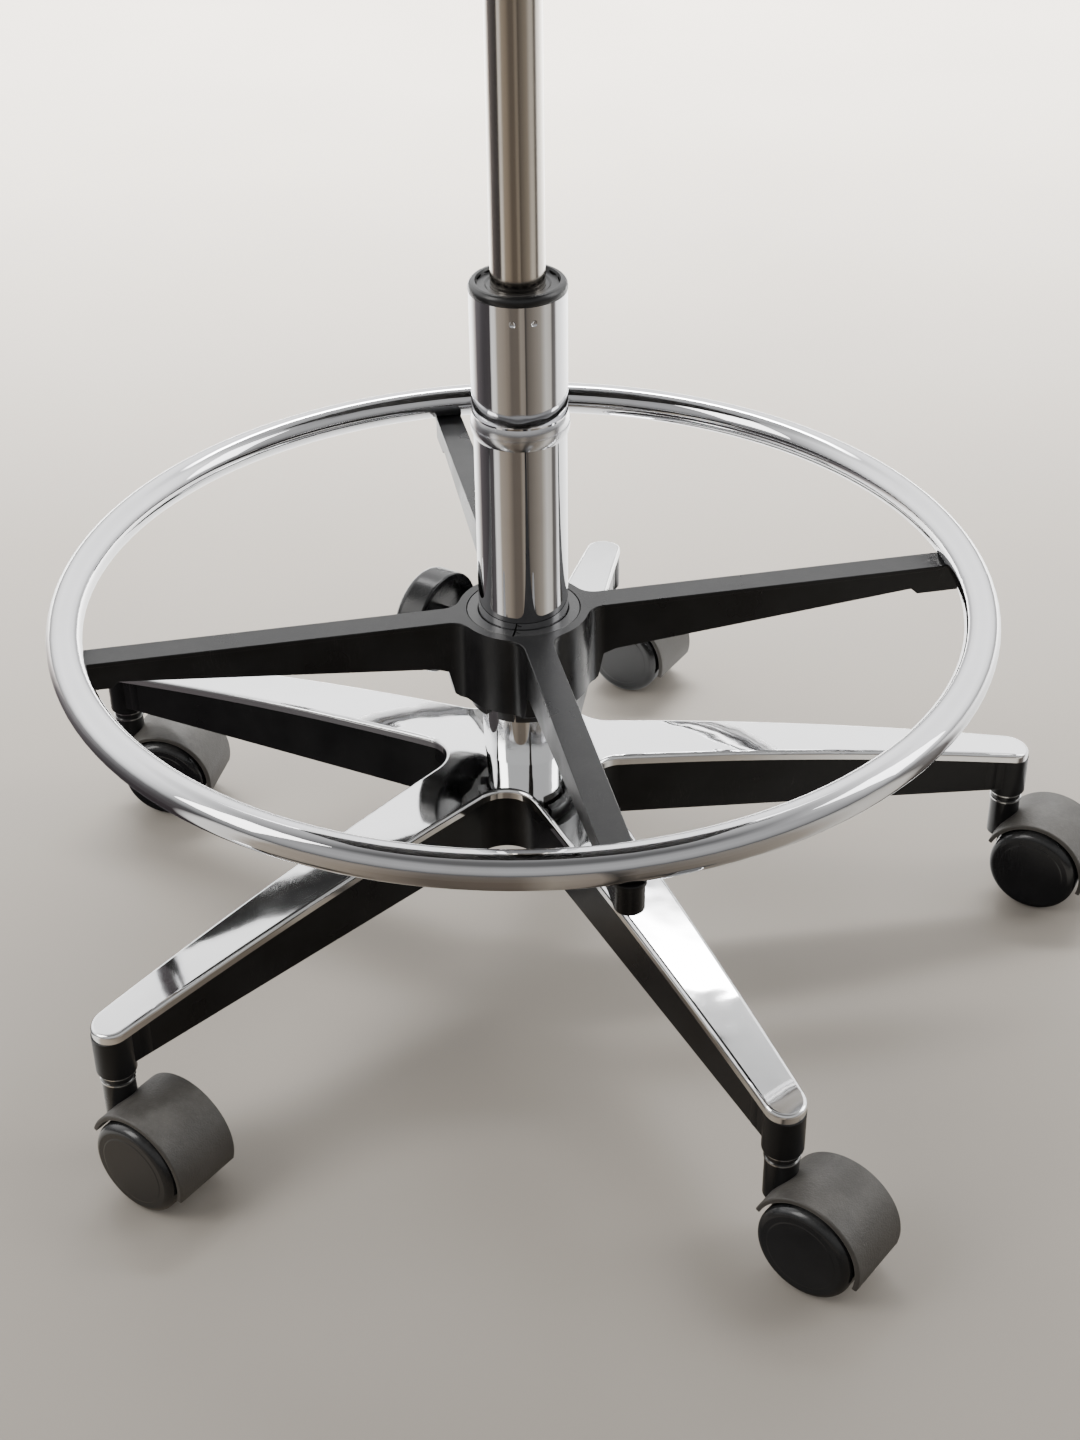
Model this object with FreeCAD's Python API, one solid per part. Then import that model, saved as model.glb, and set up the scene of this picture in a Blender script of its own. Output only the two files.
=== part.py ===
import FreeCAD, Part
import math
import os

# Drafting chair: star base on casters, gas lift column, foot ring, seat and back.
# Millimetres, +Z up. The origin is on the floor under the column's axis, and the seat faces -Y.
# Every sub-part is written as one STEP file to parts/.

# ---- casters ------------------------------------------------------------------------------------
wheel_radius = 26.5
wheel_inner_face = 3.6           # from the caster's mid plane
wheel_width = 20.0
wheel_shoulder = 4.0
wheel_edge_radius = 1.6
disc_margin = 7.0                # raised disc in from the wheel's tread
disc_step = 0.7
trail_margin = 0.5               # stem's axis in front of the wheels
caster_trail_azimuth = (-30.0, -32.5, -12.5, -36.5, -38.4)
axle_radius = 3.0
axle_cover = 4.6                 # wheel face past the axle's end
axle_fit = 0.08
axle_end_gap = 0.6
hood_gap = 1.8                   # wheel to hood
hood_wall = 2.5
hood_step = 3.6                  # wheel face past the hood's rim
hood_rim_radius = 1.0
hood_front_angle = -68.0         # degrees from straight up, towards the stem
hood_rear_angle = 106.0
web_plate_gap = 0.9              # fork's plate to each wheel
fork_hub_radius = 9.0
stem_radius = 5.5
stem_fit = 0.08
stem_drop = 9.0                  # stem's foot below the wheels' top
stem_chamfer = 1.2
stem_top_gap = 1.0
ring_radius = 9.2                # bright rings on the stem
ring_thickness = 0.9
ring_gap = 0.4                   # upper ring to the socket
collar_height = 3.4              # black collar between the rings
collar_step = 0.5                # collar in from the rings
neck_radius = 8.7
neck_drop = 18.0                 # neck's foot below the wheels' top

# ---- base ---------------------------------------------------------------------------------------
leg_count = 5
first_leg_azimuth = 6.9          # degrees from +X
stem_circle_radius = 288.0       # caster stems from the column's axis
tip_overhang = 10.0              # polished tip past the stem's axis
leg_tip_half_width = 11.0
leg_root_half_width = 18.0
leg_root_radius = 90.0           # where the root width is taken
valley_radius = 18.0             # rounding between neighbouring legs
socket_headroom = 12.0           # socket's foot above the wheels
socket_radius = 10.6
socket_roof = 0.5                # metal between the stem's bore and the deck
side_boss_radius = 9.5
side_boss_offset = 14.0          # inboard of the stem
side_boss_step = 6.0             # its foot above the socket's foot
boss_rounding = 1.0
sleeve_radius = 7.0
sleeve_recess = 1.0
deck_rise = 63.8                 # deck, carried on to the axis, above the sockets' feet
deck_slope_fall = 15.09          # the deck's fall to the stems by its slope
deck_crown_fall = 18.0           # the same, by its crown
deck_thickness = 5.5
deck_edge_radius = 2.2
web_inset = 2.5                  # black web stands in from the deck's edge
web_wall = 4.0
web_root_depth = 40.0            # deck top to the web's lower edge, at the hub
web_tip_depth = 24.0             # the same, at the socket
hub_core_radius = 42.0           # solid centre of the casting
rib_radii = (115.0, 190.0)       # cross ribs under each leg
rib_thickness = 3.0
pocket_end_inset = 30.0          # last pocket to the stem's axis
boss_height = 39.2               # boss round the column, above the deck's centre
boss_chamfer = 1.0
column_foot_step = 9.0           # column's foot above the sockets' feet
taper_foot_radius = 14.8         # column taper at its lower end
taper_rate = 0.04                # radius gained per mm of height

# ---- column and gas lift ------------------------------------------------------------------------
column_radius = 24.4
column_wall = 2.2
column_floor = 5.0
column_shoulder = 10.0           # boss to the column's full radius
column_length = 158.0            # straight part
boss_foot_step = 1.1             # boss in from the column, at its foot
boss_top_step = 0.2              # the same, at its top
spigot_step = 1.6                # spigot in from the column
spigot_length = 14.0
rod_hole_gap = 0.5
sleeve_step = 0.6                # sleeve out from the column
sleeve_length = 78.8             # from the bead's foot to the cap
bead_step = 1.6                  # bead out from the column
bead_overlap = 13.5              # bead's foot below the column's top
bead_height = 12.0
dimple_drop = 8.6                # below the sleeve's top
dimple_radius = 2.6
dimple_depth = 0.7
dimple_azimuths = (-97.0, -71.5)
guide_cap_step = 0.2             # cap out from the sleeve
guide_cap_height = 5.2
guide_cap_recess = 2.2
guide_collar_width = 3.0         # raised collar round the cylinder
guide_seat_gap = 1.0
guide_slot_inset = 4.2           # slots in from the cap's rim
guide_slot_half_width = 0.45
guide_slot_half_length = 3.2
guide_slot_count = 14
cylinder_radius = 14.0
cylinder_wall = 1.6
cylinder_overlap = 30.0          # inside the column at rest, above the spigot's foot
cylinder_length = 360.0
cylinder_taper_length = 35.0
cylinder_taper_step = 0.8
cylinder_head = 12.0
cylinder_head_wall = 8.0
guide_fit = 0.08
seal_length = 14.0
rod_radius = 5.0
rod_tail = 8.0                   # below the column's foot
rod_chamfer = 0.8
rod_fit = 0.08
piston_rise = 42.0               # above the cylinder's lower end at rest
piston_length = 10.0
bearing_radius = 10.6
washer_thickness = 1.5
washer_gap = 0.6
ball_radius = 1.4
ball_count = 12
bearing_gap = 0.1
shoulder_thickness = 2.0
bumper_height = 34.0
bumper_radius = 11.4
bumper_waist = 1.6
bumper_band = 9.0
clip_gap = 0.3
clip_groove_depth = 0.9
clip_thickness = 1.3
clip_radius = 8.5
clip_mouth_half_width = 3.0
valve_radius = 4.0
valve_rise = 8.2                 # above the cylinder
valve_clearance = 6.0            # in the cylinder's head, for the pin's travel
valve_rounding = 0.8

# ---- foot ring ----------------------------------------------------------------------------------
ring_circle_radius = 245.9
ring_tube_radius = 9.5
ring_tube_wall = 1.5
ring_seat_depth = 1.3            # tube let into the spokes' ends
spoke_rise = 48.6                # spokes' top above the base's boss
spoke_azimuth = 10.8
spoke_count = 4
spoke_half_width = 8.0
spoke_cap_thickness = 2.4        # wider strip along the top of each spoke
spoke_cap_overhang = 0.8
spoke_cap_rounding = 0.6
spoke_end_radius = 8.5
spoke_fillet = 12.0              # plan rounding from hub to spoke
spoke_root_depth = 29.0
spoke_tip_depth = 13.0
end_block_depth = 16.6
end_block_length = 34.0
hub_wall = 4.7
hub_height = 47.0
collet_wall = 6.3
collet_gap = 0.3                 # collet to hub, and collet to column
collet_chamfer = 0.5
collet_tab_height = 8.6
collet_tab_count = 6
collet_tab_angle = 45.0
collet_tab_azimuth = -97.0
collet_slot_azimuth = -101.0
collet_slot_width = 1.0
collet_notch_depth = 0.6
collet_screw_head = 2.6
collet_screw_socket = 1.2
ring_screw_radius = 2.5
ring_screw_head = 4.2
ring_screw_socket = 1.6
ring_screw_recess = 0.4
ring_screw_counterbore = 3.2
ring_screw_reach = 3.0           # screw's end below the tube's centre
clamp_drop = 27.0                # clamp knob's axis below the spokes' top
clamp_standoff = 16.0            # knob's rim to the hub
clamp_knob_radius = 29.0
clamp_knob_length = 18.0
clamp_far_rounding = 5.0
clamp_rim_rounding = 1.2
clamp_rim_width = 3.5            # rim round the knob's hollow
clamp_hollow_depth = 6.0
clamp_neck_radius = 9.0
clamp_neck_gap = 1.0             # neck to the hub
clamp_stud_radius = 4.0
clamp_stud_fit = 0.08

# ---- seat ---------------------------------------------------------------------------------------
seat_width = 480.0
seat_depth = 460.0
seat_corner = 95.0
seat_thickness = 58.0
seat_edge_radius = 22.0
seat_centre_y = -10.0
shell_inset = 22.0
shell_thickness = 11.0
shell_edge_radius = 3.0
plate_rise = 23.0                # mechanism's top plate above the cylinder
plate_thickness = 3.0
plate_half_width = 100.0
plate_corner = 18.0
housing_half_width = 55.0
housing_front = -90.0
housing_rear = 52.0
housing_height = 47.0
housing_wall = 3.0
socket_tube_wall = 6.0
socket_tube_drop = 22.0          # below the housing
socket_bore_gap = 0.4
taper_seat = 2.0                 # cylinder's end past the socket
bolt_spacing = 160.0
bolt_radius = 3.0
bolt_head_radius = 5.5
bolt_head_height = 4.0
bolt_hole_gap = 0.2
bolt_end_gap = 3.0               # bolt's end below the shell's top
bolt_hole_end_gap = 2.0

# ---- height lever -------------------------------------------------------------------------------
lever_pivot_x = 45.0
lever_pivot_rise = 6.5           # above the cylinder
lever_eye_radius = 5.5
lever_eye_half_width = 10.0
lever_eye_gap = 0.5
lever_pin_radius = 2.5
lever_pin_half_length = 17.0
lever_pin_fit = 0.08
lever_lug_thickness = 4.0
lever_rod_radius = 3.6
lever_bend_x = 130.0
lever_end_x = 236.0
lever_fall = 14.5                # end of the rod below the pivot
lever_slot_gap = 1.5
lever_finger_gap = 0.3
lever_finger_thickness = 3.6
lever_finger_half_width = 5.0
grip_length = 62.0
grip_width = 26.0
grip_thickness = 11.0

# ---- back ---------------------------------------------------------------------------------------
bar_half_width = 30.0
bar_thickness = 6.0
bar_front = 58.0
bar_back_face = 281.0
bar_bend_radius = 35.0
bar_rise = 257.0                 # bar's top above the mechanism's plate
bar_bolt_spacing = 30.0
bar_bolt_y = 78.0
slider_wall = 12.0               # beside the bar
slider_front_wall = 9.7
slider_back_wall = 10.7
slider_rise = 147.0              # slider's foot above the mechanism's plate
slider_height = 70.0
slider_gap = 0.3
slider_edge_radius = 4.0
ear_thickness = 8.0
ear_half_height = 11.0
pivot_offset = 25.0              # back pivot in front of the bar's rear face
pivot_rise = 50.0                # above the slider's foot
ear_reach = 8.0                  # ear past the pivot
back_pin_radius = 4.0
back_pin_fit = 0.08
knob_rise = 35.0                 # above the slider's foot
knob_radius = 22.0
knob_length = 20.0
knob_gap = 0.8
knob_shaft_radius = 5.0
knob_shaft_fit = 0.08
knob_lobes = 6
knob_notch_radius = 9.0
back_width = 400.0
back_height = 300.0
back_rise = 112.0                # back's lower edge above the mechanism's plate
back_corner = 60.0
back_curve_radius = 500.0        # of the shell's middle surface, about an upright axis
back_shell_offset = 20.0         # pivot behind the shell's front
back_shell_thickness = 10.0
back_shell_inset = 8.0
back_cushion_thickness = 40.0
back_edge_radius = 15.0
lug_gap = 0.5

# ---- heights that stack up from the floor ---------------------------------------------------------
stem_foot = 2 * wheel_radius - stem_drop
neck_foot = 2 * wheel_radius - neck_drop
socket_bottom = 2 * wheel_radius + socket_headroom
side_boss_bottom = socket_bottom + side_boss_step
deck_centre_height = socket_bottom + deck_rise
column_bottom = socket_bottom + column_foot_step
boss_top = deck_centre_height + boss_height
column_full_radius_height = boss_top + column_shoulder
column_top = column_full_radius_height + column_length
bead_bottom = column_top - bead_overlap
sleeve_top = bead_bottom + sleeve_length
spoke_top = boss_top + spoke_rise
clamp_height = spoke_top - clamp_drop
ring_height = spoke_top + ring_tube_radius - ring_seat_depth
cylinder_bottom = column_top + spigot_length - cylinder_overlap
cylinder_top = cylinder_bottom + cylinder_length
cylinder_taper_start = cylinder_top - cylinder_taper_length
piston_bottom = cylinder_bottom + piston_rise
valve_top = cylinder_top + valve_rise
plate_height = cylinder_top + plate_rise
housing_bottom = plate_height - housing_height
socket_tube_bottom = housing_bottom - socket_tube_drop
lever_pivot_height = cylinder_top + lever_pivot_rise
lever_end_height = lever_pivot_height - lever_fall
bar_top = plate_height + bar_rise
slider_bottom = plate_height + slider_rise
slider_top = slider_bottom + slider_height
knob_height = slider_bottom + knob_rise
back_pivot_height = slider_bottom + pivot_rise
back_bottom = plate_height + back_rise

# ---- sizes that fit one another -------------------------------------------------------------------
trail = wheel_radius + trail_margin
deck_slope = deck_slope_fall / stem_circle_radius
deck_crown = deck_crown_fall / stem_circle_radius ** 2
hood_inner_radius = wheel_radius + hood_gap
hood_outer_radius = hood_inner_radius + hood_wall
wheel_face = wheel_inner_face + wheel_width
hood_half_width = wheel_face - hood_step
disc_radius = wheel_radius - disc_margin
web_plate_thickness = 2 * (wheel_inner_face - web_plate_gap)
axle_half_length = wheel_face - axle_cover
boss_foot_radius = column_radius - boss_foot_step
boss_top_radius = column_radius - boss_top_step
spigot_radius = column_radius - spigot_step
sleeve_tube_radius = column_radius + sleeve_step
bead_radius = column_radius + bead_step
guide_cap_radius = sleeve_tube_radius + guide_cap_step
guide_slot_radius = guide_cap_radius - guide_slot_inset
guide_collar_radius = cylinder_radius + guide_collar_width
cylinder_top_radius = cylinder_radius - cylinder_taper_step
collet_bore = column_radius + collet_gap
collet_radius = collet_bore + collet_wall
hub_bore = collet_radius + collet_gap
hub_radius = hub_bore + hub_wall
hub_bottom = spoke_top - hub_height
clamp_azimuth = spoke_azimuth + 1.5 * 360.0 / spoke_count
clamp_rim = hub_radius + clamp_standoff
socket_tube_radius = cylinder_radius + socket_tube_wall
slider_half_width = bar_half_width + slider_wall
bar_front_face = bar_back_face - bar_thickness
slider_front = bar_front_face - slider_gap - slider_front_wall
slider_back = bar_back_face + slider_gap + slider_back_wall
back_pivot_y = bar_back_face - pivot_offset
back_shell_front = back_pivot_y - back_shell_offset


def vec(x, y, z):
    return FreeCAD.Vector(x, y, z)


UP = vec(0, 0, 1)
ORIGIN = vec(0, 0, 0)


def save(node, *solids):
    """Write one sub-part, as one solid or as a group of separate solids."""
    shape = solids[0] if len(solids) == 1 else Part.makeCompound(list(solids))
    if not shape.isValid():
        raise ValueError(node + " is not a valid shape")
    shape.exportStep("parts/" + node + ".step")
    print(node, len(shape.Solids), round(shape.Volume / 1000.0, 1), "cm3")


def cylinder(radius, low, high, x=0.0, y=0.0):
    return Part.makeCylinder(radius, high - low, vec(x, y, low))


def tube(outer, inner, low, high):
    return cylinder(outer, low, high).cut(cylinder(inner, low, high))


def bar_x(radius, x_low, x_high, y, z):
    return Part.makeCylinder(radius, x_high - x_low, vec(x_low, y, z), vec(1, 0, 0))


def bar_y(radius, y_low, y_high, x, z):
    return Part.makeCylinder(radius, y_high - y_low, vec(x, y_low, z), vec(0, 1, 0))


def block(x_low, x_high, y_low, y_high, z_low, z_high):
    return Part.makeBox(x_high - x_low, y_high - y_low, z_high - z_low, vec(x_low, y_low, z_low))


def turned(shape, azimuth, x=0.0, y=0.0):
    """A copy turned about Z, then moved in plan."""
    copy = shape.copy()
    copy.rotate(ORIGIN, UP, azimuth)
    copy.translate(vec(x, y, 0))
    return copy


def around(shape, count, first=0.0):
    return [turned(shape, first + 360.0 * k / count) for k in range(count)]


def fused(shapes):
    return shapes[0].multiFuse(list(shapes[1:])).removeSplitter()


def edges_between(points):
    """Edges through points; a point given as (a, b) with 'via' in front makes an arc."""
    edges = []
    start = points[0]
    through = None
    for point in points[1:] + points[:1]:
        if point[0] == "via":
            through = point[1]
            continue
        if through is None:
            edges.append(Part.LineSegment(start, point).toShape())
        else:
            edges.append(Part.Arc(start, through, point).toShape())
        start = point
        through = None
    return edges


def section(points):
    """Closed profile in the XZ plane from (radius, height) pairs; ('via', (r, z)) bends a side."""
    spots = []
    for point in points:
        if point[0] == "via":
            spots.append(("via", vec(point[1][0], 0, point[1][1])))
        else:
            spots.append(vec(point[0], 0, point[1]))
    return Part.Face(Part.Wire(edges_between(spots)))


def revolved(points):
    return section(points).revolve(ORIGIN, UP, 360)


def polar(radius, azimuth, z=0.0):
    angle = math.radians(azimuth)
    return vec(radius * math.cos(angle), radius * math.sin(angle), z)


def rounded_outline(half_x, low_y, high_y, corner, z):
    """Rectangle with round corners in plan."""
    c = corner * (1 - math.sqrt(0.5))
    x = half_x
    spots = [vec(-x + corner, low_y, z), vec(x - corner, low_y, z),
             ("via", vec(x - c, low_y + c, z)), vec(x, low_y + corner, z),
             vec(x, high_y - corner, z), ("via", vec(x - c, high_y - c, z)),
             vec(x - corner, high_y, z), vec(-x + corner, high_y, z),
             ("via", vec(-x + c, high_y - c, z)), vec(-x, high_y - corner, z),
             vec(-x, low_y + corner, z), ("via", vec(-x + c, low_y + c, z))]
    return Part.Face(Part.Wire(edges_between(spots)))


def level_edges(shape, height, tolerance=0.01):
    """Edges that lie wholly at one height."""
    found = []
    for edge in shape.Edges:
        box = edge.BoundBox
        if abs(box.ZMin - height) < tolerance and abs(box.ZMax - height) < tolerance:
            found.append(edge)
    return found


# ---- base ---------------------------------------------------------------------------------------
tip_centre = stem_circle_radius + tip_overhang - leg_tip_half_width
leg_taper = (leg_root_half_width - leg_tip_half_width) / (tip_centre - leg_root_radius)
half_step = math.pi / leg_count
leg_azimuths = [first_leg_azimuth + 360.0 * k / leg_count for k in range(leg_count)]


def upright_edges(shape, x, tolerance=0.01):
    """Edges that lie in the upright plane at that x."""
    return [e for e in shape.Edges if abs(e.BoundBox.XMin - x) < tolerance
            and abs(e.BoundBox.XMax - x) < tolerance]


def deck_height(radius):
    return deck_centre_height - deck_slope * radius - deck_crown * radius * radius


socket_bore_top = deck_height(stem_circle_radius + sleeve_radius) - deck_thickness - socket_roof


def star_face(inset):
    """Plan of the star, drawn in by inset all round."""
    lean = math.atan(leg_taper)
    edge_at_axis = leg_tip_half_width + leg_taper * tip_centre - inset / math.cos(lean)
    tip = (edge_at_axis - leg_taper * tip_centre) * math.cos(lean)
    valley = valley_radius + inset
    reach = ((edge_at_axis + valley / math.cos(lean))
             / (math.sin(half_step) + leg_taper * math.cos(half_step)))
    root_x = reach * math.cos(half_step) - valley * math.sin(lean)
    root_y = reach * math.sin(half_step) - valley * math.cos(lean)
    end_x = tip_centre + tip * math.sin(lean)
    end_y = tip * math.cos(lean)
    spots = []
    for azimuth in leg_azimuths:
        turn = FreeCAD.Rotation(UP, azimuth)
        spots.append(turn.multVec(vec(root_x, -root_y, 0)))
        spots.append(turn.multVec(vec(end_x, -end_y, 0)))
        spots.append(("via", turn.multVec(vec(tip_centre + tip, 0, 0))))
        spots.append(turn.multVec(vec(end_x, end_y, 0)))
        spots.append(turn.multVec(vec(root_x, root_y, 0)))
        spots.append(("via", polar(reach - valley, azimuth + math.degrees(half_step))))
    return Part.Face(Part.Wire(edges_between(spots)))


def deck_curve(drop):
    """Three points of the deck's curve, lowered by drop."""
    reach = stem_circle_radius + 3 * tip_overhang
    return [(r, deck_height(r) - drop) for r in (0.0, reach / 2, reach)]


def taper_radius(height):
    return taper_foot_radius + taper_rate * (height - column_bottom)


def column_bore():
    return Part.makeCone(taper_radius(0), taper_radius(boss_top + 1), boss_top + 1)


def top_perimeter(shape):
    """Upper edges round the star: the edges shared by the crowned top and an upright side."""
    found = []
    for edge in shape.Edges:
        middle = edge.valueAt((edge.FirstParameter + edge.LastParameter) / 2)
        start = edge.valueAt(edge.FirstParameter)
        on_top = all(abs(p.z - deck_height(math.hypot(p.x, p.y))) < 0.3 for p in (middle, start))
        if on_top:
            found.append(edge)
    return found


def base_star_top():
    low, mid, high = deck_curve(0)
    under = deck_curve(deck_thickness)
    layer = revolved([low, ("via", mid), high, under[2], ("via", under[1]), under[0]])
    prism = star_face(0).extrude(vec(0, 0, 2 * deck_centre_height))
    deck = prism.common(layer)
    deck = deck.makeFillet(deck_edge_radius, top_perimeter(deck))
    boss = Part.makeCone(boss_foot_radius, boss_top_radius, boss_top - deck_height(hub_core_radius),
                         vec(0, 0, deck_height(hub_core_radius)))
    boss = boss.makeChamfer(boss_chamfer, level_edges(boss, boss_top))
    return deck.fuse(boss).cut(column_bore()).removeSplitter()


def web_bottom(radius):
    share = (radius - hub_core_radius) / (stem_circle_radius - hub_core_radius)
    return deck_height(radius) - web_root_depth - share * (web_tip_depth - web_root_depth)


def base_underframe():
    top = deck_curve(deck_thickness)
    outer = top[2][0]
    layer = revolved([top[0], ("via", top[1]), top[2], (outer, web_bottom(outer)),
                      (hub_core_radius, web_bottom(hub_core_radius)),
                      (0, web_bottom(hub_core_radius))])
    body = star_face(web_inset).extrude(vec(0, 0, 2 * deck_centre_height)).common(layer)
    limits = [hub_core_radius] + list(rib_radii) + [stem_circle_radius - pocket_end_inset]
    hollow = star_face(web_inset + web_wall).extrude(vec(0, 0, 2 * deck_centre_height))
    for start, end in zip(limits[:-1], limits[1:]):
        ring = tube(end - rib_thickness / 2, start + rib_thickness / 2, 0, deck_centre_height)
        body = body.cut(hollow.common(ring))
    socket_top = revolved([top[0], ("via", top[1]), top[2], (outer, 0), (0, 0)])
    for azimuth in leg_azimuths:
        stem = polar(stem_circle_radius, azimuth)
        side = polar(stem_circle_radius - side_boss_offset, azimuth)
        socket = cylinder(socket_radius, socket_bottom, deck_centre_height, stem.x, stem.y)
        socket = socket.makeFillet(boss_rounding, level_edges(socket, socket_bottom))
        boss = cylinder(side_boss_radius, side_boss_bottom, deck_centre_height, side.x, side.y)
        boss = boss.makeFillet(boss_rounding, level_edges(boss, side_boss_bottom))
        body = body.fuse(socket.fuse(boss).common(socket_top))
        body = body.cut(cylinder(sleeve_radius, 0, socket_bore_top, stem.x, stem.y))
    return body.cut(column_bore()).removeSplitter()


def caster_grip_sleeves():
    ring = tube(sleeve_radius, stem_radius + stem_fit, socket_bottom + sleeve_recess, socket_bore_top)
    return [turned(ring, 0, polar(stem_circle_radius, a).x, polar(stem_circle_radius, a).y)
            for a in leg_azimuths]


# ---- column -------------------------------------------------------------------------------------
def column_tube():
    floor_top = column_bottom + column_floor
    wall = column_wall
    hole = rod_radius + rod_hole_gap
    return revolved([
        (taper_radius(column_bottom), column_bottom), (taper_radius(boss_top), boss_top),
        (column_radius, column_full_radius_height), (column_radius, column_top),
        (spigot_radius, column_top), (spigot_radius, column_top + spigot_length),
        (spigot_radius - wall, column_top + spigot_length), (spigot_radius - wall, column_top - wall),
        (column_radius - wall, column_top - 2 * wall),
        (column_radius - wall, column_full_radius_height + wall),
        (taper_radius(boss_top) - wall, boss_top + wall / 2),
        (taper_radius(floor_top) - wall, floor_top), (hole, floor_top), (hole, column_bottom)])


def column_sleeve():
    bead_top = bead_bottom + bead_height
    bead_middle = bead_bottom + bead_height / 2
    body = revolved([
        (column_radius, bead_bottom), ("via", (bead_radius, bead_middle)),
        (column_radius + sleeve_step / 2, bead_top), (sleeve_tube_radius, bead_top + 2 * sleeve_step),
        (sleeve_tube_radius, sleeve_top), (spigot_radius, sleeve_top),
        (spigot_radius, column_top), (column_radius, column_top)])
    for azimuth in dimple_azimuths:
        for side in (0, 180):
            centre = polar(sleeve_tube_radius + dimple_radius - dimple_depth, azimuth + side,
                           sleeve_top - dimple_drop)
            body = body.cut(Part.makeSphere(dimple_radius, centre))
    return body


def guide_bushing():
    low = column_top + spigot_length + guide_seat_gap
    cap_top = sleeve_top + guide_cap_height
    dish = cap_top - guide_cap_recess
    round_radius = guide_cap_height / 2
    bore = cylinder_radius + guide_fit
    rim = guide_cap_radius
    body = revolved([
        (bore, low), (spigot_radius, low), (spigot_radius, sleeve_top), (rim - 0.4, sleeve_top),
        ("via", (rim, sleeve_top + round_radius)), (rim - 1.6, cap_top - 0.3), (rim - 2.6, cap_top),
        (rim - 3.6, cap_top), (rim - 4.6, dish), (guide_collar_radius, dish),
        (guide_collar_radius - 1.2, dish - 0.8), (bore, dish - 0.8)])
    slot = block(guide_slot_radius - guide_slot_half_width, guide_slot_radius + guide_slot_half_width,
                 -guide_slot_half_length, guide_slot_half_length, dish - 1.5, dish + 1.0)
    for cutter in around(slot, guide_slot_count, 6.0):
        body = body.cut(cutter)
    return body


def thrust_bearing():
    low = column_bottom + column_floor
    washer = tube(bearing_radius, rod_radius + washer_gap, low, low + washer_thickness)
    pitch = (bearing_radius + rod_radius + washer_gap) / 2
    ball = Part.makeSphere(ball_radius, vec(pitch, 0, low + washer_thickness + ball_radius))
    return [washer] + around(ball, ball_count)


shoulder_low = column_bottom + column_floor + washer_thickness + 2 * ball_radius + bearing_gap
shoulder_high = shoulder_low + shoulder_thickness
clip_low = column_bottom - clip_gap - clip_thickness


def piston_rod():
    body = cylinder(rod_radius, column_bottom - rod_tail, piston_bottom + piston_length / 2)
    body = body.makeChamfer(rod_chamfer, level_edges(body, column_bottom - rod_tail))
    groove = tube(rod_radius + 1, rod_radius - clip_groove_depth, clip_low, clip_low + clip_thickness)
    shoulder = cylinder(bearing_radius, shoulder_low, shoulder_high)
    piston = cylinder(cylinder_radius - cylinder_wall - rod_fit, piston_bottom,
                      piston_bottom + piston_length)
    return fused([body.cut(groove), shoulder, piston])


def rod_clip():
    ring = tube(clip_radius, rod_radius - clip_groove_depth, clip_low, clip_low + clip_thickness)
    mouth = block(0, clip_radius + 1, -clip_mouth_half_width, clip_mouth_half_width, clip_low - 1,
                  clip_low + clip_thickness + 1)
    return ring.cut(mouth)


def lift_bumper():
    low = shoulder_high
    high = low + bumper_height
    waist = bumper_radius - bumper_waist
    middle = (low + high) / 2
    return revolved([(rod_radius, low), (bumper_radius, low), (bumper_radius, low + bumper_band),
                     (waist, middle - bumper_band / 2), (waist, middle + bumper_band / 2),
                     (bumper_radius, high - bumper_band), (bumper_radius, high),
                     (rod_radius, high)])


def gas_cylinder():
    inside = cylinder_radius - cylinder_wall
    valve_floor = cylinder_top - cylinder_head
    chamber_top = valve_floor - cylinder_head_wall
    return revolved([
        (rod_radius + rod_fit, cylinder_bottom), (cylinder_radius - 1.0, cylinder_bottom),
        (cylinder_radius, cylinder_bottom + 1.5), (cylinder_radius, cylinder_taper_start),
        (cylinder_top_radius, cylinder_top), (valve_radius + rod_fit, cylinder_top),
        (valve_radius + rod_fit, valve_floor), (0, valve_floor), (0, chamber_top),
        (inside, chamber_top), (inside, cylinder_bottom + seal_length),
        (rod_radius + rod_fit, cylinder_bottom + seal_length)])


def valve_pin():
    pin = cylinder(valve_radius, cylinder_top - cylinder_head + valve_clearance, valve_top)
    return pin.makeFillet(valve_rounding, level_edges(pin, valve_top))


# ---- casters, drawn with the stem on the Z axis and the wheels towards +X -------------------------
def wheel_cylinder(radius, y_low, y_high):
    return bar_y(radius, y_low, y_high, trail, wheel_radius)


upper_ring_top = socket_bottom - ring_gap
lower_ring_top = upper_ring_top - ring_thickness - collar_height
neck_top = lower_ring_top - ring_thickness


def caster_stem():
    body = cylinder(stem_radius, stem_foot, socket_bore_top - stem_top_gap)
    body = body.makeChamfer(stem_chamfer, level_edges(body, socket_bore_top - stem_top_gap))
    rings = [cylinder(ring_radius, top - ring_thickness, top)
             for top in (upper_ring_top, lower_ring_top)]
    return fused([body] + rings)


def caster_axle():
    return wheel_cylinder(axle_radius, -axle_half_length, axle_half_length)


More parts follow.
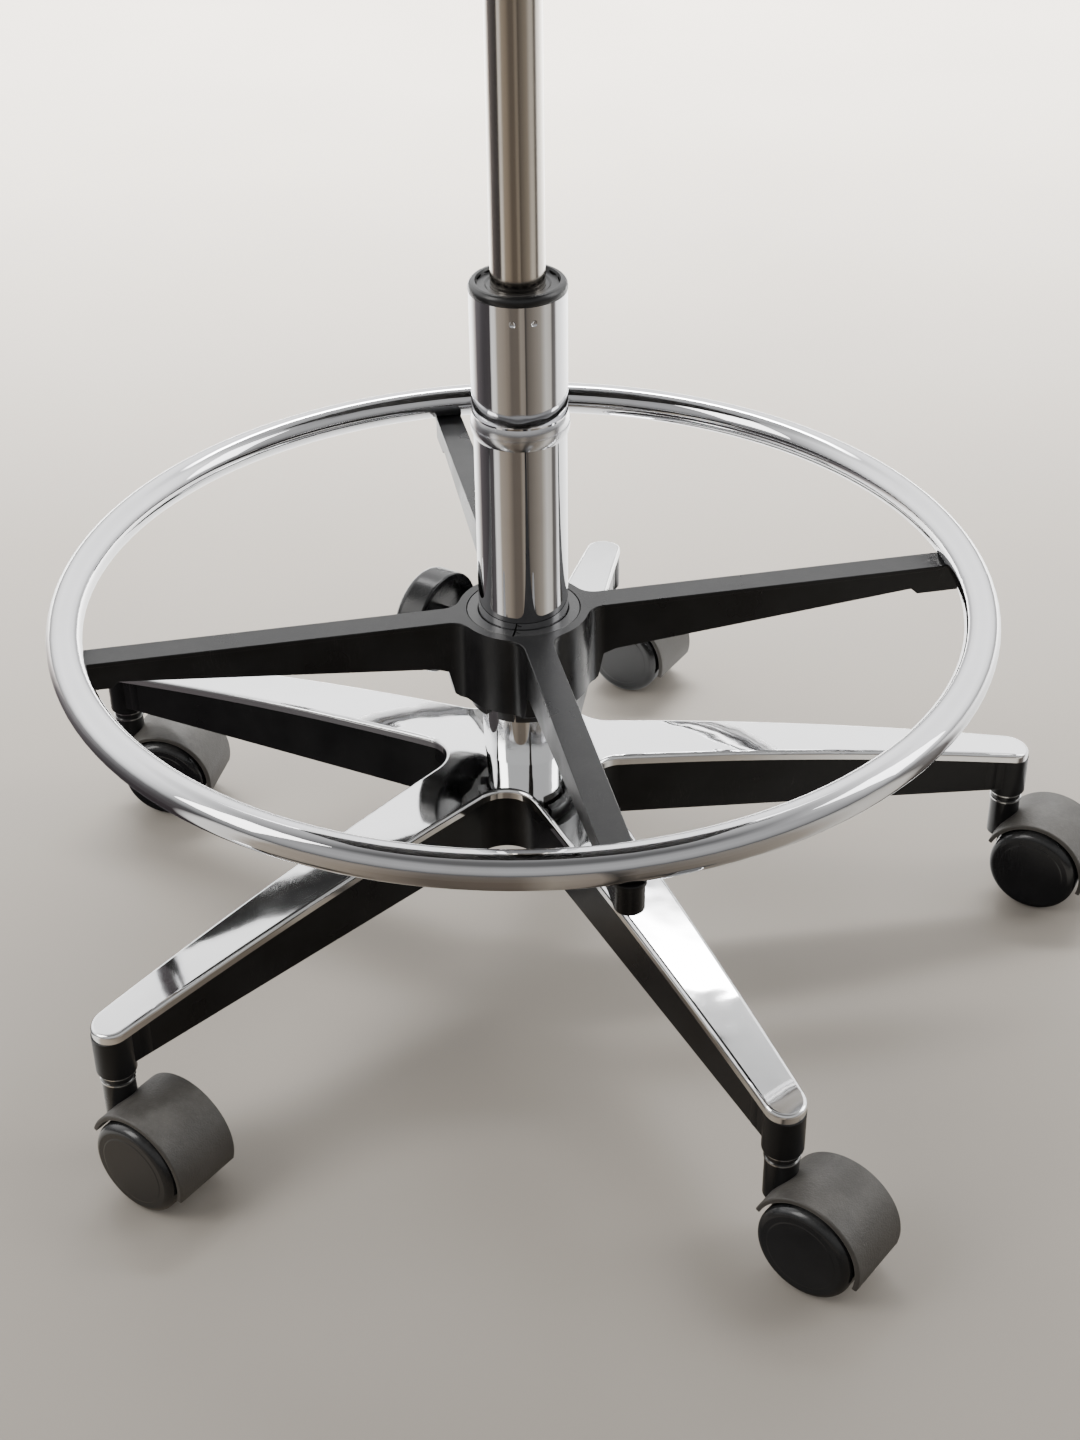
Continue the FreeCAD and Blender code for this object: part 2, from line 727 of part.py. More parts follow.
def caster_fork():
    """Black neck round the stem, with the web plate between the wheels and a loose collar."""
    half_web = web_plate_thickness / 2
    neck = cylinder(neck_radius, neck_foot, neck_top)
    web = wheel_cylinder(hood_inner_radius, -half_web, half_web)
    space = wheel_cylinder(hood_inner_radius, half_web, hood_half_width)
    space = space.fuse(wheel_cylinder(hood_inner_radius, -hood_half_width, -half_web))
    keep = block(-neck_radius, trail + hood_outer_radius, -half_web, half_web,
                 wheel_radius - fork_hub_radius, neck_top)
    hub = wheel_cylinder(fork_hub_radius, -half_web, half_web)
    body = fused([neck.cut(space), web.common(keep), hub])
    body = body.cut(cylinder(stem_radius, stem_foot, neck_top + 1)).cut(caster_axle())
    collar = tube(ring_radius - collar_step, stem_radius, lower_ring_top,
                  upper_ring_top - ring_thickness)
    return body, collar


def caster_hood():
    """Curved cover over the wheels, open at the front foot and low at the rear."""
    shell = wheel_cylinder(hood_outer_radius, -hood_half_width, hood_half_width)
    shell = shell.cut(wheel_cylinder(hood_inner_radius, -hood_half_width, hood_half_width))
    far = 3 * hood_outer_radius
    front = math.radians(hood_front_angle)
    rear = math.radians(hood_rear_angle)
    centre = vec(trail, -hood_half_width - 1, wheel_radius)
    wedge = [centre,
             centre + vec(far * math.sin(front), 0, far * math.cos(front)),
             centre + vec(0, 0, far),
             centre + vec(far, 0, far),
             centre + vec(far * math.sin(rear), 0, far * math.cos(rear))]
    sector = Part.Face(Part.makePolygon(wedge + wedge[:1])).extrude(vec(0, 2 * hood_half_width + 2, 0))
    hood = shell.common(sector)
    rims = [e for e in hood.Edges if e.Curve.TypeId == "Part::GeomCircle"
            and abs(e.Curve.Radius - hood_outer_radius) < 0.01]
    hood = hood.makeFillet(hood_rim_radius, rims)
    return hood.cut(cylinder(neck_radius, neck_foot - 5, neck_top + 5))


def caster_wheel(side):
    """One wheel; side is +1 or -1 along the axle."""
    face = wheel_face
    bore = axle_radius + axle_fit
    bore_end = axle_half_length + axle_end_gap
    r = wheel_radius
    profile = [(bore, wheel_inner_face), (r - 1.0, wheel_inner_face),
               (r, wheel_inner_face + 1.0), (r, face - wheel_shoulder - wheel_edge_radius),
               ("via", (r - 1.1, face - 2.0)), (r - wheel_shoulder, face - 0.2),
               (disc_radius, face - 0.2), (disc_radius - disc_step, face),
               (0, face), (0, bore_end), (bore, bore_end)]
    wheel = revolved(profile)
    wheel.rotate(ORIGIN, vec(1, 0, 0), -90.0 * side)
    wheel.translate(vec(trail, 0, wheel_radius))
    return wheel


def save_casters():
    fork, collar = caster_fork()
    shapes = {"fork": [fork, collar], "hood": [caster_hood()], "stem": [caster_stem()],
              "axle": [caster_axle()], "left_wheel": [caster_wheel(1)],
              "right_wheel": [caster_wheel(-1)]}
    for k, azimuth in enumerate(leg_azimuths):
        spot = polar(stem_circle_radius, azimuth)
        for name, solids in shapes.items():
            placed = [turned(s, caster_trail_azimuth[k], spot.x, spot.y) for s in solids]
            save("caster_%d_%s" % (k + 1, name), *placed)


# ---- foot ring ----------------------------------------------------------------------------------
def spider_face(half_width, end_radius):
    """Plan of the hub and its spokes, without the bore."""
    centre_y = half_width + spoke_fillet
    centre_x = math.sqrt((hub_radius + spoke_fillet) ** 2 - centre_y ** 2)
    share = hub_radius / (hub_radius + spoke_fillet)
    bend = math.atan2(centre_y, centre_x)
    touch = vec(centre_x * share, centre_y * share, 0)
    middle_angle = (bend + math.pi + 1.5 * math.pi) / 2
    middle = vec(centre_x + spoke_fillet * math.cos(middle_angle),
                 centre_y + spoke_fillet * math.sin(middle_angle), 0)
    end_x = ring_circle_radius
    spots = []
    for k in range(spoke_count):
        turn = FreeCAD.Rotation(UP, spoke_azimuth + 360.0 * k / spoke_count)
        flip = [vec(touch.x, -touch.y, 0), vec(middle.x, -middle.y, 0), vec(centre_x, -half_width, 0)]
        spots += [turn.multVec(flip[0]), ("via", turn.multVec(flip[1])), turn.multVec(flip[2])]
        spots += [turn.multVec(vec(end_x, -half_width, 0)),
                  ("via", turn.multVec(vec(end_x + end_radius, 0, 0))),
                  turn.multVec(vec(end_x, half_width, 0))]
        spots += [turn.multVec(vec(centre_x, half_width, 0)), ("via", turn.multVec(middle)),
                  turn.multVec(touch)]
        gap = spoke_azimuth + 360.0 * (k + 0.5) / spoke_count
        spots.append(("via", polar(hub_radius, gap)))
    return Part.Face(Part.Wire(edges_between(spots)))


def spoke_stations():
    return [polar(ring_circle_radius, spoke_azimuth + 360.0 * k / spoke_count)
            for k in range(spoke_count)]


def foot_ring_spider():
    cap_low = spoke_top - spoke_cap_thickness
    cap = spider_face(spoke_half_width, spoke_end_radius).extrude(vec(0, 0, spoke_cap_thickness))
    cap.translate(vec(0, 0, cap_low))
    cap = cap.makeFillet(spoke_cap_rounding, level_edges(cap, spoke_top))
    body = spider_face(spoke_half_width - spoke_cap_overhang,
                       spoke_end_radius - spoke_cap_overhang).extrude(vec(0, 0, hub_height))
    body.translate(vec(0, 0, hub_bottom))
    block_start = ring_circle_radius + spoke_end_radius - end_block_length
    far = ring_circle_radius + 4 * spoke_end_radius
    under = revolved([
        (0, hub_bottom), (hub_radius + 3.0, hub_bottom), (hub_radius + 5.0, hub_bottom + 1.5),
        (hub_radius + 8.0, spoke_top - spoke_root_depth - 2.5),
        (hub_radius + 15.0, spoke_top - spoke_root_depth),
        (block_start, spoke_top - spoke_tip_depth), (block_start + 4.0, spoke_top - end_block_depth),
        (far, spoke_top - end_block_depth), (far, spoke_top + 1), (0, spoke_top + 1)])
    body = fused([cap, body.common(under)])
    body = body.cut(cylinder(hub_bore, 0, spoke_top + 1))
    stud_hole = bar_x(clamp_stud_radius + clamp_stud_fit, 0, hub_radius + 1, 0, clamp_height)
    body = body.cut(turned(stud_hole, clamp_azimuth))
    body = body.cut(Part.makeTorus(ring_circle_radius, ring_tube_radius, vec(0, 0, ring_height)))
    floor = spoke_top - end_block_depth
    for spot in spoke_stations():
        body = body.cut(cylinder(ring_screw_radius, 0, spoke_top + 5, spot.x, spot.y))
        body = body.cut(cylinder(ring_screw_head, 0, floor + ring_screw_counterbore, spot.x, spot.y))
    return body


def foot_ring_tube():
    outer = Part.makeTorus(ring_circle_radius, ring_tube_radius, vec(0, 0, ring_height))
    inner = Part.makeTorus(ring_circle_radius, ring_tube_radius - ring_tube_wall,
                           vec(0, 0, ring_height))
    body = outer.cut(inner)
    for spot in spoke_stations():
        body = body.cut(cylinder(ring_screw_radius, ring_height - 2 * ring_tube_radius, ring_height,
                                 spot.x, spot.y))
    return body


def foot_ring_screws():
    floor = spoke_top - end_block_depth
    screws = []
    for spot in spoke_stations():
        head = cylinder(ring_screw_head, floor + ring_screw_recess, floor + ring_screw_counterbore,
                        spot.x, spot.y)
        socket = cylinder(ring_screw_socket, floor, floor + ring_screw_counterbore - 1.0,
                          spot.x, spot.y)
        shank = cylinder(ring_screw_radius, floor + ring_screw_counterbore,
                         ring_height - ring_screw_reach, spot.x, spot.y)
        screws.append(head.cut(socket).fuse(shank))
    return screws


def lock_collet():
    """Split sleeve between hub and column, with tongues below the hub."""
    body = tube(collet_radius, collet_bore, hub_bottom, spoke_top)
    body = body.makeChamfer(collet_chamfer, level_edges(body, spoke_top))
    tongue = Part.makeCylinder(collet_radius - 0.4, collet_tab_height,
                               vec(0, 0, hub_bottom - collet_tab_height), UP, collet_tab_angle)
    tongue = tongue.cut(cylinder(collet_bore + 1.0, 0, spoke_top))
    first = collet_tab_azimuth - collet_tab_angle / 2
    body = fused([body] + around(tongue, collet_tab_count, first))
    slot = block(0, collet_radius + 1, -collet_slot_width / 2, collet_slot_width / 2,
                 hub_bottom - collet_tab_height - 1, spoke_top + 1)
    tail = collet_bore + 0.9
    point = collet_radius - 0.8
    corners = [vec(tail, 0.4, 0), vec(point, 0.4, 0), vec((tail + point) / 2, 4.2, 0)]
    notch = Part.Face(Part.makePolygon(corners + corners[:1])).extrude(vec(0, 0, 2 * collet_notch_depth))
    notch.translate(vec(0, 0, spoke_top - collet_notch_depth))
    body = body.cut(turned(slot, collet_slot_azimuth))
    return body.cut(turned(notch, collet_slot_azimuth))


def collet_screw():
    azimuth = collet_tab_azimuth + 180.0 / collet_tab_count
    spot = polar((collet_radius + collet_bore) / 2, azimuth)
    low = hub_bottom - collet_tab_height + collet_screw_socket
    head = cylinder(collet_screw_head, low, hub_bottom, spot.x, spot.y)
    socket = cylinder(collet_screw_socket, low - 1, low + 2, spot.x, spot.y)
    return head.cut(socket)


def clamp_knob():
    """Hollow-backed knob; its stud passes through the hub and bears on the collet."""
    far = clamp_rim + clamp_knob_length
    head = bar_x(clamp_knob_radius, clamp_rim, far, 0, clamp_height)
    head = head.makeFillet(clamp_far_rounding, upright_edges(head, far))
    head = head.makeFillet(clamp_rim_rounding, upright_edges(head, clamp_rim))
    floor = clamp_rim + clamp_hollow_depth
    head = head.cut(bar_x(clamp_knob_radius - clamp_rim_width, clamp_rim - 1, floor, 0, clamp_height))
    neck = bar_x(clamp_neck_radius, hub_radius + clamp_neck_gap, floor + 1, 0, clamp_height)
    stud = bar_x(clamp_stud_radius, hub_bore, floor, 0, clamp_height)
    return turned(fused([head, neck, stud]), clamp_azimuth)


# ---- seat and mechanism -------------------------------------------------------------------------
plate_top = plate_height + plate_thickness
shell_top = plate_top + shell_thickness


def seat_bolt_spots():
    half = bolt_spacing / 2
    return [(x, y) for x in (-half, half) for y in (-half, half)]


def bar_bolt_spots():
    return [(x, bar_bolt_y) for x in (-bar_bolt_spacing / 2, bar_bolt_spacing / 2)]


def drilled(shape, spots):
    for x, y in spots:
        shape = shape.cut(cylinder(bolt_radius + bolt_hole_gap, housing_bottom,
                                   shell_top - bolt_hole_end_gap, x, y))
    return shape


def seat_mechanism():
    wall = housing_wall
    box = block(-housing_half_width, housing_half_width, housing_front, housing_rear,
                housing_bottom, plate_height)
    hollow = block(-housing_half_width + wall, housing_half_width - wall, housing_front + wall,
                   housing_rear - wall, housing_bottom - 1, plate_height)
    plate = rounded_outline(plate_half_width, -plate_half_width, plate_half_width, plate_corner,
                            plate_height).extrude(vec(0, 0, plate_thickness))
    socket = cylinder(socket_tube_radius, socket_tube_bottom, cylinder_top - taper_seat)
    rim = block(-housing_half_width, housing_half_width, -socket_tube_radius, socket_tube_radius,
                housing_bottom, housing_bottom + wall)
    lug_y = lever_eye_half_width + lever_eye_gap
    lug = block(lever_pivot_x - 7, housing_half_width, lug_y, lug_y + lever_lug_thickness,
                lever_pivot_height - 8, plate_height)
    other = lug.mirror(ORIGIN, vec(0, 1, 0))
    body = fused([box.cut(hollow), plate, socket, rim, lug, other])
    bore = Part.makeCone(cylinder_radius, cylinder_top_radius, cylinder_top - cylinder_taper_start,
                         vec(0, 0, cylinder_taper_start))
    body = body.cut(bore).cut(cylinder(cylinder_radius + socket_bore_gap, socket_tube_bottom - 1,
                                       cylinder_taper_start))
    slot_y = lever_rod_radius + lever_slot_gap
    slot = block(housing_half_width - 2 * wall, housing_half_width + 1, -slot_y, slot_y,
                 lever_pivot_height - slot_y - 2, lever_pivot_height + slot_y + 3)
    pin = bar_y(lever_pin_radius, -lever_pin_half_length, lever_pin_half_length, lever_pivot_x,
                lever_pivot_height)
    return drilled(body.cut(slot).cut(pin), seat_bolt_spots() + bar_bolt_spots())


def lever_pivot_pin():
    return bar_y(lever_pin_radius, -lever_pin_half_length, lever_pin_half_length, lever_pivot_x,
                 lever_pivot_height)


def height_lever():
    eye = bar_y(lever_eye_radius, -lever_eye_half_width, lever_eye_half_width, lever_pivot_x,
                lever_pivot_height)
    finger_low = valve_top + lever_finger_gap
    finger = block(-lever_finger_half_width, lever_pivot_x, -lever_finger_half_width,
                   lever_finger_half_width, finger_low, finger_low + lever_finger_thickness)
    rod = bar_x(lever_rod_radius, lever_pivot_x, lever_bend_x, 0, lever_pivot_height)
    joint = Part.makeSphere(lever_rod_radius, vec(lever_bend_x, 0, lever_pivot_height))
    slope = vec(lever_end_x - lever_bend_x, 0, lever_end_height - lever_pivot_height)
    tail = Part.makeCylinder(lever_rod_radius, slope.Length,
                             vec(lever_bend_x, 0, lever_pivot_height), slope)
    body = fused([eye, finger, rod, joint, tail])
    return body.cut(bar_y(lever_pin_radius + lever_pin_fit, -lever_pin_half_length,
                          lever_pin_half_length, lever_pivot_x, lever_pivot_height))


def lever_grip():
    grip = Part.makeBox(grip_length, grip_width, grip_thickness,
                        vec(-grip_length / 2, -grip_width / 2, -grip_thickness / 2))
    grip = grip.makeFillet(grip_thickness / 2 - 0.5, grip.Edges)
    lean = math.degrees(math.atan2(lever_pivot_height - lever_end_height, lever_end_x - lever_bend_x))
    grip.rotate(ORIGIN, vec(0, 1, 0), lean)
    grip.translate(vec(lever_end_x - 4, 0, lever_end_height + 0.6))
    return grip.cut(height_lever())


def seat_shell():
    half = seat_width / 2 - shell_inset
    low = seat_centre_y - seat_depth / 2 + shell_inset
    high = seat_centre_y + seat_depth / 2 - shell_inset
    shell = rounded_outline(half, low, high, seat_corner - shell_inset, plate_top)
    shell = shell.extrude(vec(0, 0, shell_thickness))
    shell = shell.makeFillet(shell_edge_radius, level_edges(shell, plate_top))
    return drilled(shell, seat_bolt_spots() + bar_bolt_spots())


def seat_cushion():
    low = seat_centre_y - seat_depth / 2
    cushion = rounded_outline(seat_width / 2, low, low + seat_depth, seat_corner, shell_top)
    cushion = cushion.extrude(vec(0, 0, seat_thickness))
    cushion = cushion.makeFillet(seat_edge_radius, level_edges(cushion, shell_top + seat_thickness))
    return cushion.makeFillet(seat_edge_radius / 2, level_edges(cushion, shell_top))


def mechanism_bolts():
    bolts = []
    for spots, under in ((seat_bolt_spots(), plate_height),
                         (bar_bolt_spots(), plate_height - bar_thickness)):
        for x, y in spots:
            head = cylinder(bolt_head_radius, under - bolt_head_height, under, x, y)
            head = head.makeFillet(1.0, level_edges(head, under - bolt_head_height))
            shank = cylinder(bolt_radius, under - 1, shell_top - bolt_end_gap, x, y)
            bolts.append(fused([head, shank]))
    return bolts


# ---- back ---------------------------------------------------------------------------------------
def back_bar():
    low = plate_height - bar_thickness
    bend_y = bar_front_face - bar_bend_radius
    bend_z = plate_height + bar_bend_radius
    inner = bar_bend_radius * math.sqrt(0.5)
    outer = (bar_bend_radius + bar_thickness) * math.sqrt(0.5)
    x = -bar_half_width
    spots = [vec(x, bar_front, low), vec(x, bend_y, low),
             ("via", vec(x, bend_y + outer, bend_z - outer)), vec(x, bar_back_face, bend_z),
             vec(x, bar_back_face, bar_top), vec(x, bar_front_face, bar_top), vec(x, bar_front_face, bend_z),
             ("via", vec(x, bend_y + inner, bend_z - inner)), vec(x, bend_y, plate_height),
             vec(x, bar_front, plate_height)]
    bar = Part.Face(Part.Wire(edges_between(spots))).extrude(vec(2 * bar_half_width, 0, 0))
    return drilled(bar, bar_bolt_spots())


def back_slider():
    x = slider_half_width
    body = block(-x, x, slider_front, slider_back, slider_bottom, slider_top)
    body = body.makeFillet(slider_edge_radius, body.Edges)
    ear = block(x - ear_thickness, x, back_pivot_y - ear_reach, slider_front + slider_edge_radius,
                back_pivot_height - ear_half_height, back_pivot_height + ear_half_height)
    body = fused([body, ear, ear.mirror(ORIGIN, vec(1, 0, 0))])
    gap = slider_gap
    body = body.cut(block(-bar_half_width - gap, bar_half_width + gap, bar_front_face - gap,
                          bar_back_face + gap, slider_bottom - 1, slider_top + 1))
    body = body.cut(bar_y(knob_shaft_radius + knob_shaft_fit, bar_back_face, slider_back + 1, 0,
                          knob_height))
    return body.cut(back_pivot_pin())


def back_pivot_pin():
    return bar_x(back_pin_radius, -slider_half_width, slider_half_width, back_pivot_y,
                 back_pivot_height)


def back_knob():
    start = slider_back + knob_gap
    head = bar_y(knob_radius, start, start + knob_length, 0, knob_height)
    for k in range(knob_lobes):
        angle = 2 * math.pi * (k + 0.5) / knob_lobes
        reach = knob_radius + knob_notch_radius / 2
        head = head.cut(bar_y(knob_notch_radius, start - 1, start + knob_length + 1,
                              reach * math.cos(angle), knob_height + reach * math.sin(angle)))
    shaft = bar_y(knob_shaft_radius, bar_back_face + 2 * slider_gap, start + 2, 0, knob_height)
    return fused([head, shaft])


def back_panel(half_width, low, high, corner, inner, outer):
    """Upright panel bent about an upright axis in front of it, with round corners."""
    axis_y = back_shell_front + back_shell_thickness / 2 - back_curve_radius
    face = rounded_outline(half_width, low, high, corner, 0)
    face.rotate(ORIGIN, vec(1, 0, 0), 90)
    prism = face.extrude(vec(0, 2 * back_curve_radius, 0))
    ring = tube(outer, inner, low - 1, high + 1)
    ring.translate(vec(0, axis_y, 0))
    return prism.common(ring)


shell_inner = back_curve_radius - back_shell_thickness / 2
shell_outer = back_curve_radius + back_shell_thickness / 2


def back_shell():
    inset = back_shell_inset
    panel = back_panel(back_width / 2 - inset, back_bottom + inset, back_bottom + back_height - inset,
                       back_corner - inset, shell_inner, shell_outer)
    half = slider_half_width - ear_thickness - lug_gap
    lug = block(-half, half, back_shell_front + back_shell_thickness - 3, back_pivot_y + 6,
                back_pivot_height - 10, back_pivot_height + 10)
    lug = lug.makeFillet(4.0, [e for e in lug.Edges if abs(e.BoundBox.YMin - back_pivot_y - 6) < 0.01
                               and e.BoundBox.XLength > half])
    body = fused([panel, lug])
    return body.cut(bar_x(back_pin_radius + back_pin_fit, -half - 1, half + 1, back_pivot_y,
                          back_pivot_height))


def back_cushion():
    panel = back_panel(back_width / 2, back_bottom, back_bottom + back_height, back_corner,
                       shell_inner - back_cushion_thickness, shell_inner)
    return panel.makeFillet(back_edge_radius, [e for e in panel.Edges if is_on_front(e)])


def is_on_front(edge):
    """True for an edge of the cushion's front, nearest the bend's axis."""
    axis_y = back_shell_front + back_shell_thickness / 2 - back_curve_radius
    front_radius = shell_inner - back_cushion_thickness
    spots = [edge.valueAt(edge.FirstParameter), edge.valueAt(edge.LastParameter)]
    return all(abs(math.hypot(p.x, p.y - axis_y) - front_radius) < 0.05 for p in spots)


def main():
    os.makedirs("parts", exist_ok=True)
    save("base_star_top", base_star_top())
    save("base_underframe", base_underframe())
    save("caster_grip_sleeves", *caster_grip_sleeves())
    save("column_tube", column_tube())
    save("column_sleeve", column_sleeve())
    save("guide_bushing", guide_bushing())
    save("thrust_bearing", *thrust_bearing())
    save("piston_rod", piston_rod())
    save("rod_clip", rod_clip())
    save("lift_bumper", lift_bumper())
    save("gas_cylinder", gas_cylinder())
    save("valve_pin", valve_pin())
    save_casters()
    save("foot_ring_tube", foot_ring_tube())
    save("foot_ring_spider", foot_ring_spider())
    save("foot_ring_screws", *foot_ring_screws())
    save("lock_collet", lock_collet(), collet_screw())
    save("clamp_knob", clamp_knob())
    save("seat_mechanism", seat_mechanism())
    save("lever_pivot_pin", lever_pivot_pin())
    save("height_lever", height_lever())
    save("lever_grip", lever_grip())
    save("seat_shell", seat_shell())
    save("seat_cushion", seat_cushion())
    save("mechanism_bolts", *mechanism_bolts())
    save("back_bar", back_bar())
    save("back_slider", back_slider())
    save("back_pivot_pin", back_pivot_pin())
    save("back_knob", back_knob())
    save("back_shell", back_shell())
    save("back_cushion", back_cushion())


main()
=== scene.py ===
# %% [markdown]
# # A drafting chair on a star base
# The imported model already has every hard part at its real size: the cast star, the casters, the
# column, the gas lift, the foot ring, the mechanism and the back's bar. This file gives those parts
# their finishes, makes the two cushions, and lights the whole.

# %% Load the frame
import math

import bmesh
import bpy
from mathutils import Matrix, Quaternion, Vector


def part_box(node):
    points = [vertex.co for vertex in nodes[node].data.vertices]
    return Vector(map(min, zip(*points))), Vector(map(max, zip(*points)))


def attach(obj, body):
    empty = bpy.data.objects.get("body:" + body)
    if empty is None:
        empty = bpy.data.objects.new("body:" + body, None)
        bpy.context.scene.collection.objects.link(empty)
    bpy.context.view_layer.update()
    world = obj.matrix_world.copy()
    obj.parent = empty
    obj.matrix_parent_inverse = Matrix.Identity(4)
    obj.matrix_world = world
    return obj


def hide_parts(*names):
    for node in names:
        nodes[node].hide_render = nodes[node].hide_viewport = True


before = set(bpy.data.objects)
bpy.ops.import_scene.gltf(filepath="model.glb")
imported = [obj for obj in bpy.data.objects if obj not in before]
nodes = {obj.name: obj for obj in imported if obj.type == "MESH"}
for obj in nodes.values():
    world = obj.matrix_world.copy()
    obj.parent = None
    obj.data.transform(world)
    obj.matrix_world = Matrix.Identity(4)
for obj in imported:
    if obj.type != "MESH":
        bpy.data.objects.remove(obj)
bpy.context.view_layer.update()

# %% [markdown]
# ## Small helpers for node trees
# A material is a tree of nodes, and adding one by hand takes several lines. The first two helpers
# add a node and set or link a socket. The others each add one common node: Math, Map Range, Mix,
# Noise, or the stops of a colour ramp. They could be written out each time, but the cells below
# are about finishes, and they read better without the wiring.


# %% Node helpers
def add(tree, kind, **settings):
    """A new node of that kind, with its settings."""
    made = tree.nodes.new(kind)
    for name, value in settings.items():
        setattr(made, name, value)
    return made


def feed(tree, socket, source):
    """Links a socket to another, or sets it to a plain value."""
    if isinstance(source, bpy.types.NodeSocket):
        tree.links.new(source, socket)
    else:
        socket.default_value = source


def calc(tree, operation, a, b=0.0, clamp=False):
    """One sum of two values."""
    made = add(tree, "ShaderNodeMath", operation=operation, use_clamp=clamp)
    feed(tree, made.inputs[0], a)
    feed(tree, made.inputs[1], b)
    return made.outputs[0]


def remap(tree, value, low, high, to_low=0.0, to_high=1.0):
    """Moves a range of values to another, with soft ends."""
    made = add(tree, "ShaderNodeMapRange", interpolation_type="SMOOTHSTEP")
    feed(tree, made.inputs["Value"], value)
    for name, number in (("From Min", low), ("From Max", high),
                         ("To Min", to_low), ("To Max", to_high)):
        feed(tree, made.inputs[name], number)
    return made.outputs["Result"]


def blend_colours(tree, share, first, second):
    """The first colour where share is 0, and the second where it is 1."""
    made = add(tree, "ShaderNodeMix", data_type="RGBA")
    feed(tree, made.inputs["Factor"], share)
    feed(tree, made.inputs["A"], first)
    feed(tree, made.inputs["B"], second)
    return made.outputs["Result"]


def noise(tree, vector, scale, detail=3.0, roughness=0.55):
    """Soft clouds from 0 to 1; scale is how many fit in a metre."""
    made = add(tree, "ShaderNodeTexNoise")
    for name, value in (("Vector", vector), ("Scale", scale),
                        ("Detail", detail), ("Roughness", roughness)):
        feed(tree, made.inputs[name], value)
    return made.outputs["Fac"]


def ramp_stops(elements, stops):
    """Gives a colour ramp these stops, each a position and a colour."""
    while len(elements) < len(stops):
        elements.new(0.5)
    for element, (position, colour) in zip(elements, stops):
        element.position = position
        element.color = (*colour, 1)


def split(tree, vector):
    """The X, Y and Z of a vector."""
    made = add(tree, "ShaderNodeSeparateXYZ")
    feed(tree, made.inputs[0], vector)
    return made.outputs


# %% [markdown]
# ## Effects that several finishes share
# Cast and moulded parts wear in the same few ways. Each effect is a node group with named sockets,
# built once and placed in each material with its own values. A group gives back masks and heights,
# and the shader itself stays in the material.


# %% Start a group
VECTOR, NUMBER = "NodeSocketVector", "NodeSocketFloat"
NORMALS = "ShaderNodeNewGeometry"


def new_group(name, inputs, outputs):
    """An empty shader group; inputs are (name, type, default)."""
    tree = bpy.data.node_groups.new(name, "ShaderNodeTree")
    for label, kind, default in inputs:
        socket = tree.interface.new_socket(label, in_out="INPUT", socket_type=kind)
        if default is not None:
            socket.default_value = default
    for label in outputs:
        tree.interface.new_socket(label, in_out="OUTPUT", socket_type=NUMBER)
    entry = add(tree, "NodeGroupInput").outputs
    result = add(tree, "NodeGroupOutput").inputs
    return tree, entry, result


# %% [markdown]
# A steel mould is etched or sparked before use, and the plastic copies its fine pits. A drawn grain
# would need a UV map, so here it is round cells with a coarser noise over them. The second output
# is a slow drift of tone, because no two spots of a moulding cool quite alike.


# %% Moulded grain
PIT_SHARE, COARSE_SHARE = 0.6, 0.7
COARSENESS = 0.45                # the coarse noise, against the pits


def make_grain_group():
    tree, entry, result = new_group(
        "moulded_grain", [("Vector", VECTOR, None), ("Grains Per Metre", NUMBER, 900.0)],
        ["Height", "Tone"])
    pits = add(tree, "ShaderNodeTexVoronoi", feature="SMOOTH_F1")
    feed(tree, pits.inputs["Vector"], entry["Vector"])
    feed(tree, pits.inputs["Scale"], entry["Grains Per Metre"])
    coarse_scale = calc(tree, "MULTIPLY", entry["Grains Per Metre"], COARSENESS)
    coarse = noise(tree, entry["Vector"], coarse_scale, 4.0, 0.6)
    height = calc(tree, "ADD", calc(tree, "MULTIPLY", pits.outputs["Distance"], PIT_SHARE),
                  calc(tree, "MULTIPLY", coarse, COARSE_SHARE))
    feed(tree, result["Height"], height)
    drift = noise(tree, entry["Vector"], 22.0, 3.0, 0.6)
    feed(tree, result["Tone"], remap(tree, drift, 0.3, 0.7))
    return tree


# %% [markdown]
# Rounded edges catch the light, so they get a painted highlight: a paler tone along each corner. A
# painted mask would have to follow each part. A Bevel node finds the corners by itself: its rounded
# normal turns away from the true one only near an edge.


# %% Painted edge highlight
# The mask for a painted highlight along the edges.
def make_edge_group():
    tree, entry, result = new_group(
        "edge_glint",
        [("Vector", VECTOR, None), ("Width", NUMBER, 0.0006), ("Gain", NUMBER, 4.0),
         ("Evenness", NUMBER, 0.6)], ["Mask"])
    soft = add(tree, "ShaderNodeBevel", samples=4)
    feed(tree, soft.inputs["Radius"], entry["Width"])
    facing = add(tree, NORMALS)
    same = add(tree, "ShaderNodeVectorMath", operation="DOT_PRODUCT")
    feed(tree, same.inputs[0], soft.outputs["Normal"])
    feed(tree, same.inputs[1], facing.outputs["Normal"])
    turned = calc(tree, "SUBTRACT", 1.0, same.outputs["Value"])
    strong = calc(tree, "MULTIPLY", turned, entry["Gain"], clamp=True)
    patchy = remap(tree, noise(tree, entry["Vector"], 85.0, 4.0, 0.65), 0.32, 0.68)
    even = calc(tree, "MAXIMUM", patchy, entry["Evenness"])
    feed(tree, result["Mask"], calc(tree, "MULTIPLY", strong, even))
    return tree


# %% [markdown]
# Dust comes down from above and stays where nothing wipes it. The mask is strong on faces that look
# up and none on the sides, and clouds and specks break it up.


# %% Settled dust
CLOUD_SHARE, SPECK_SHARE = 0.75, 0.5


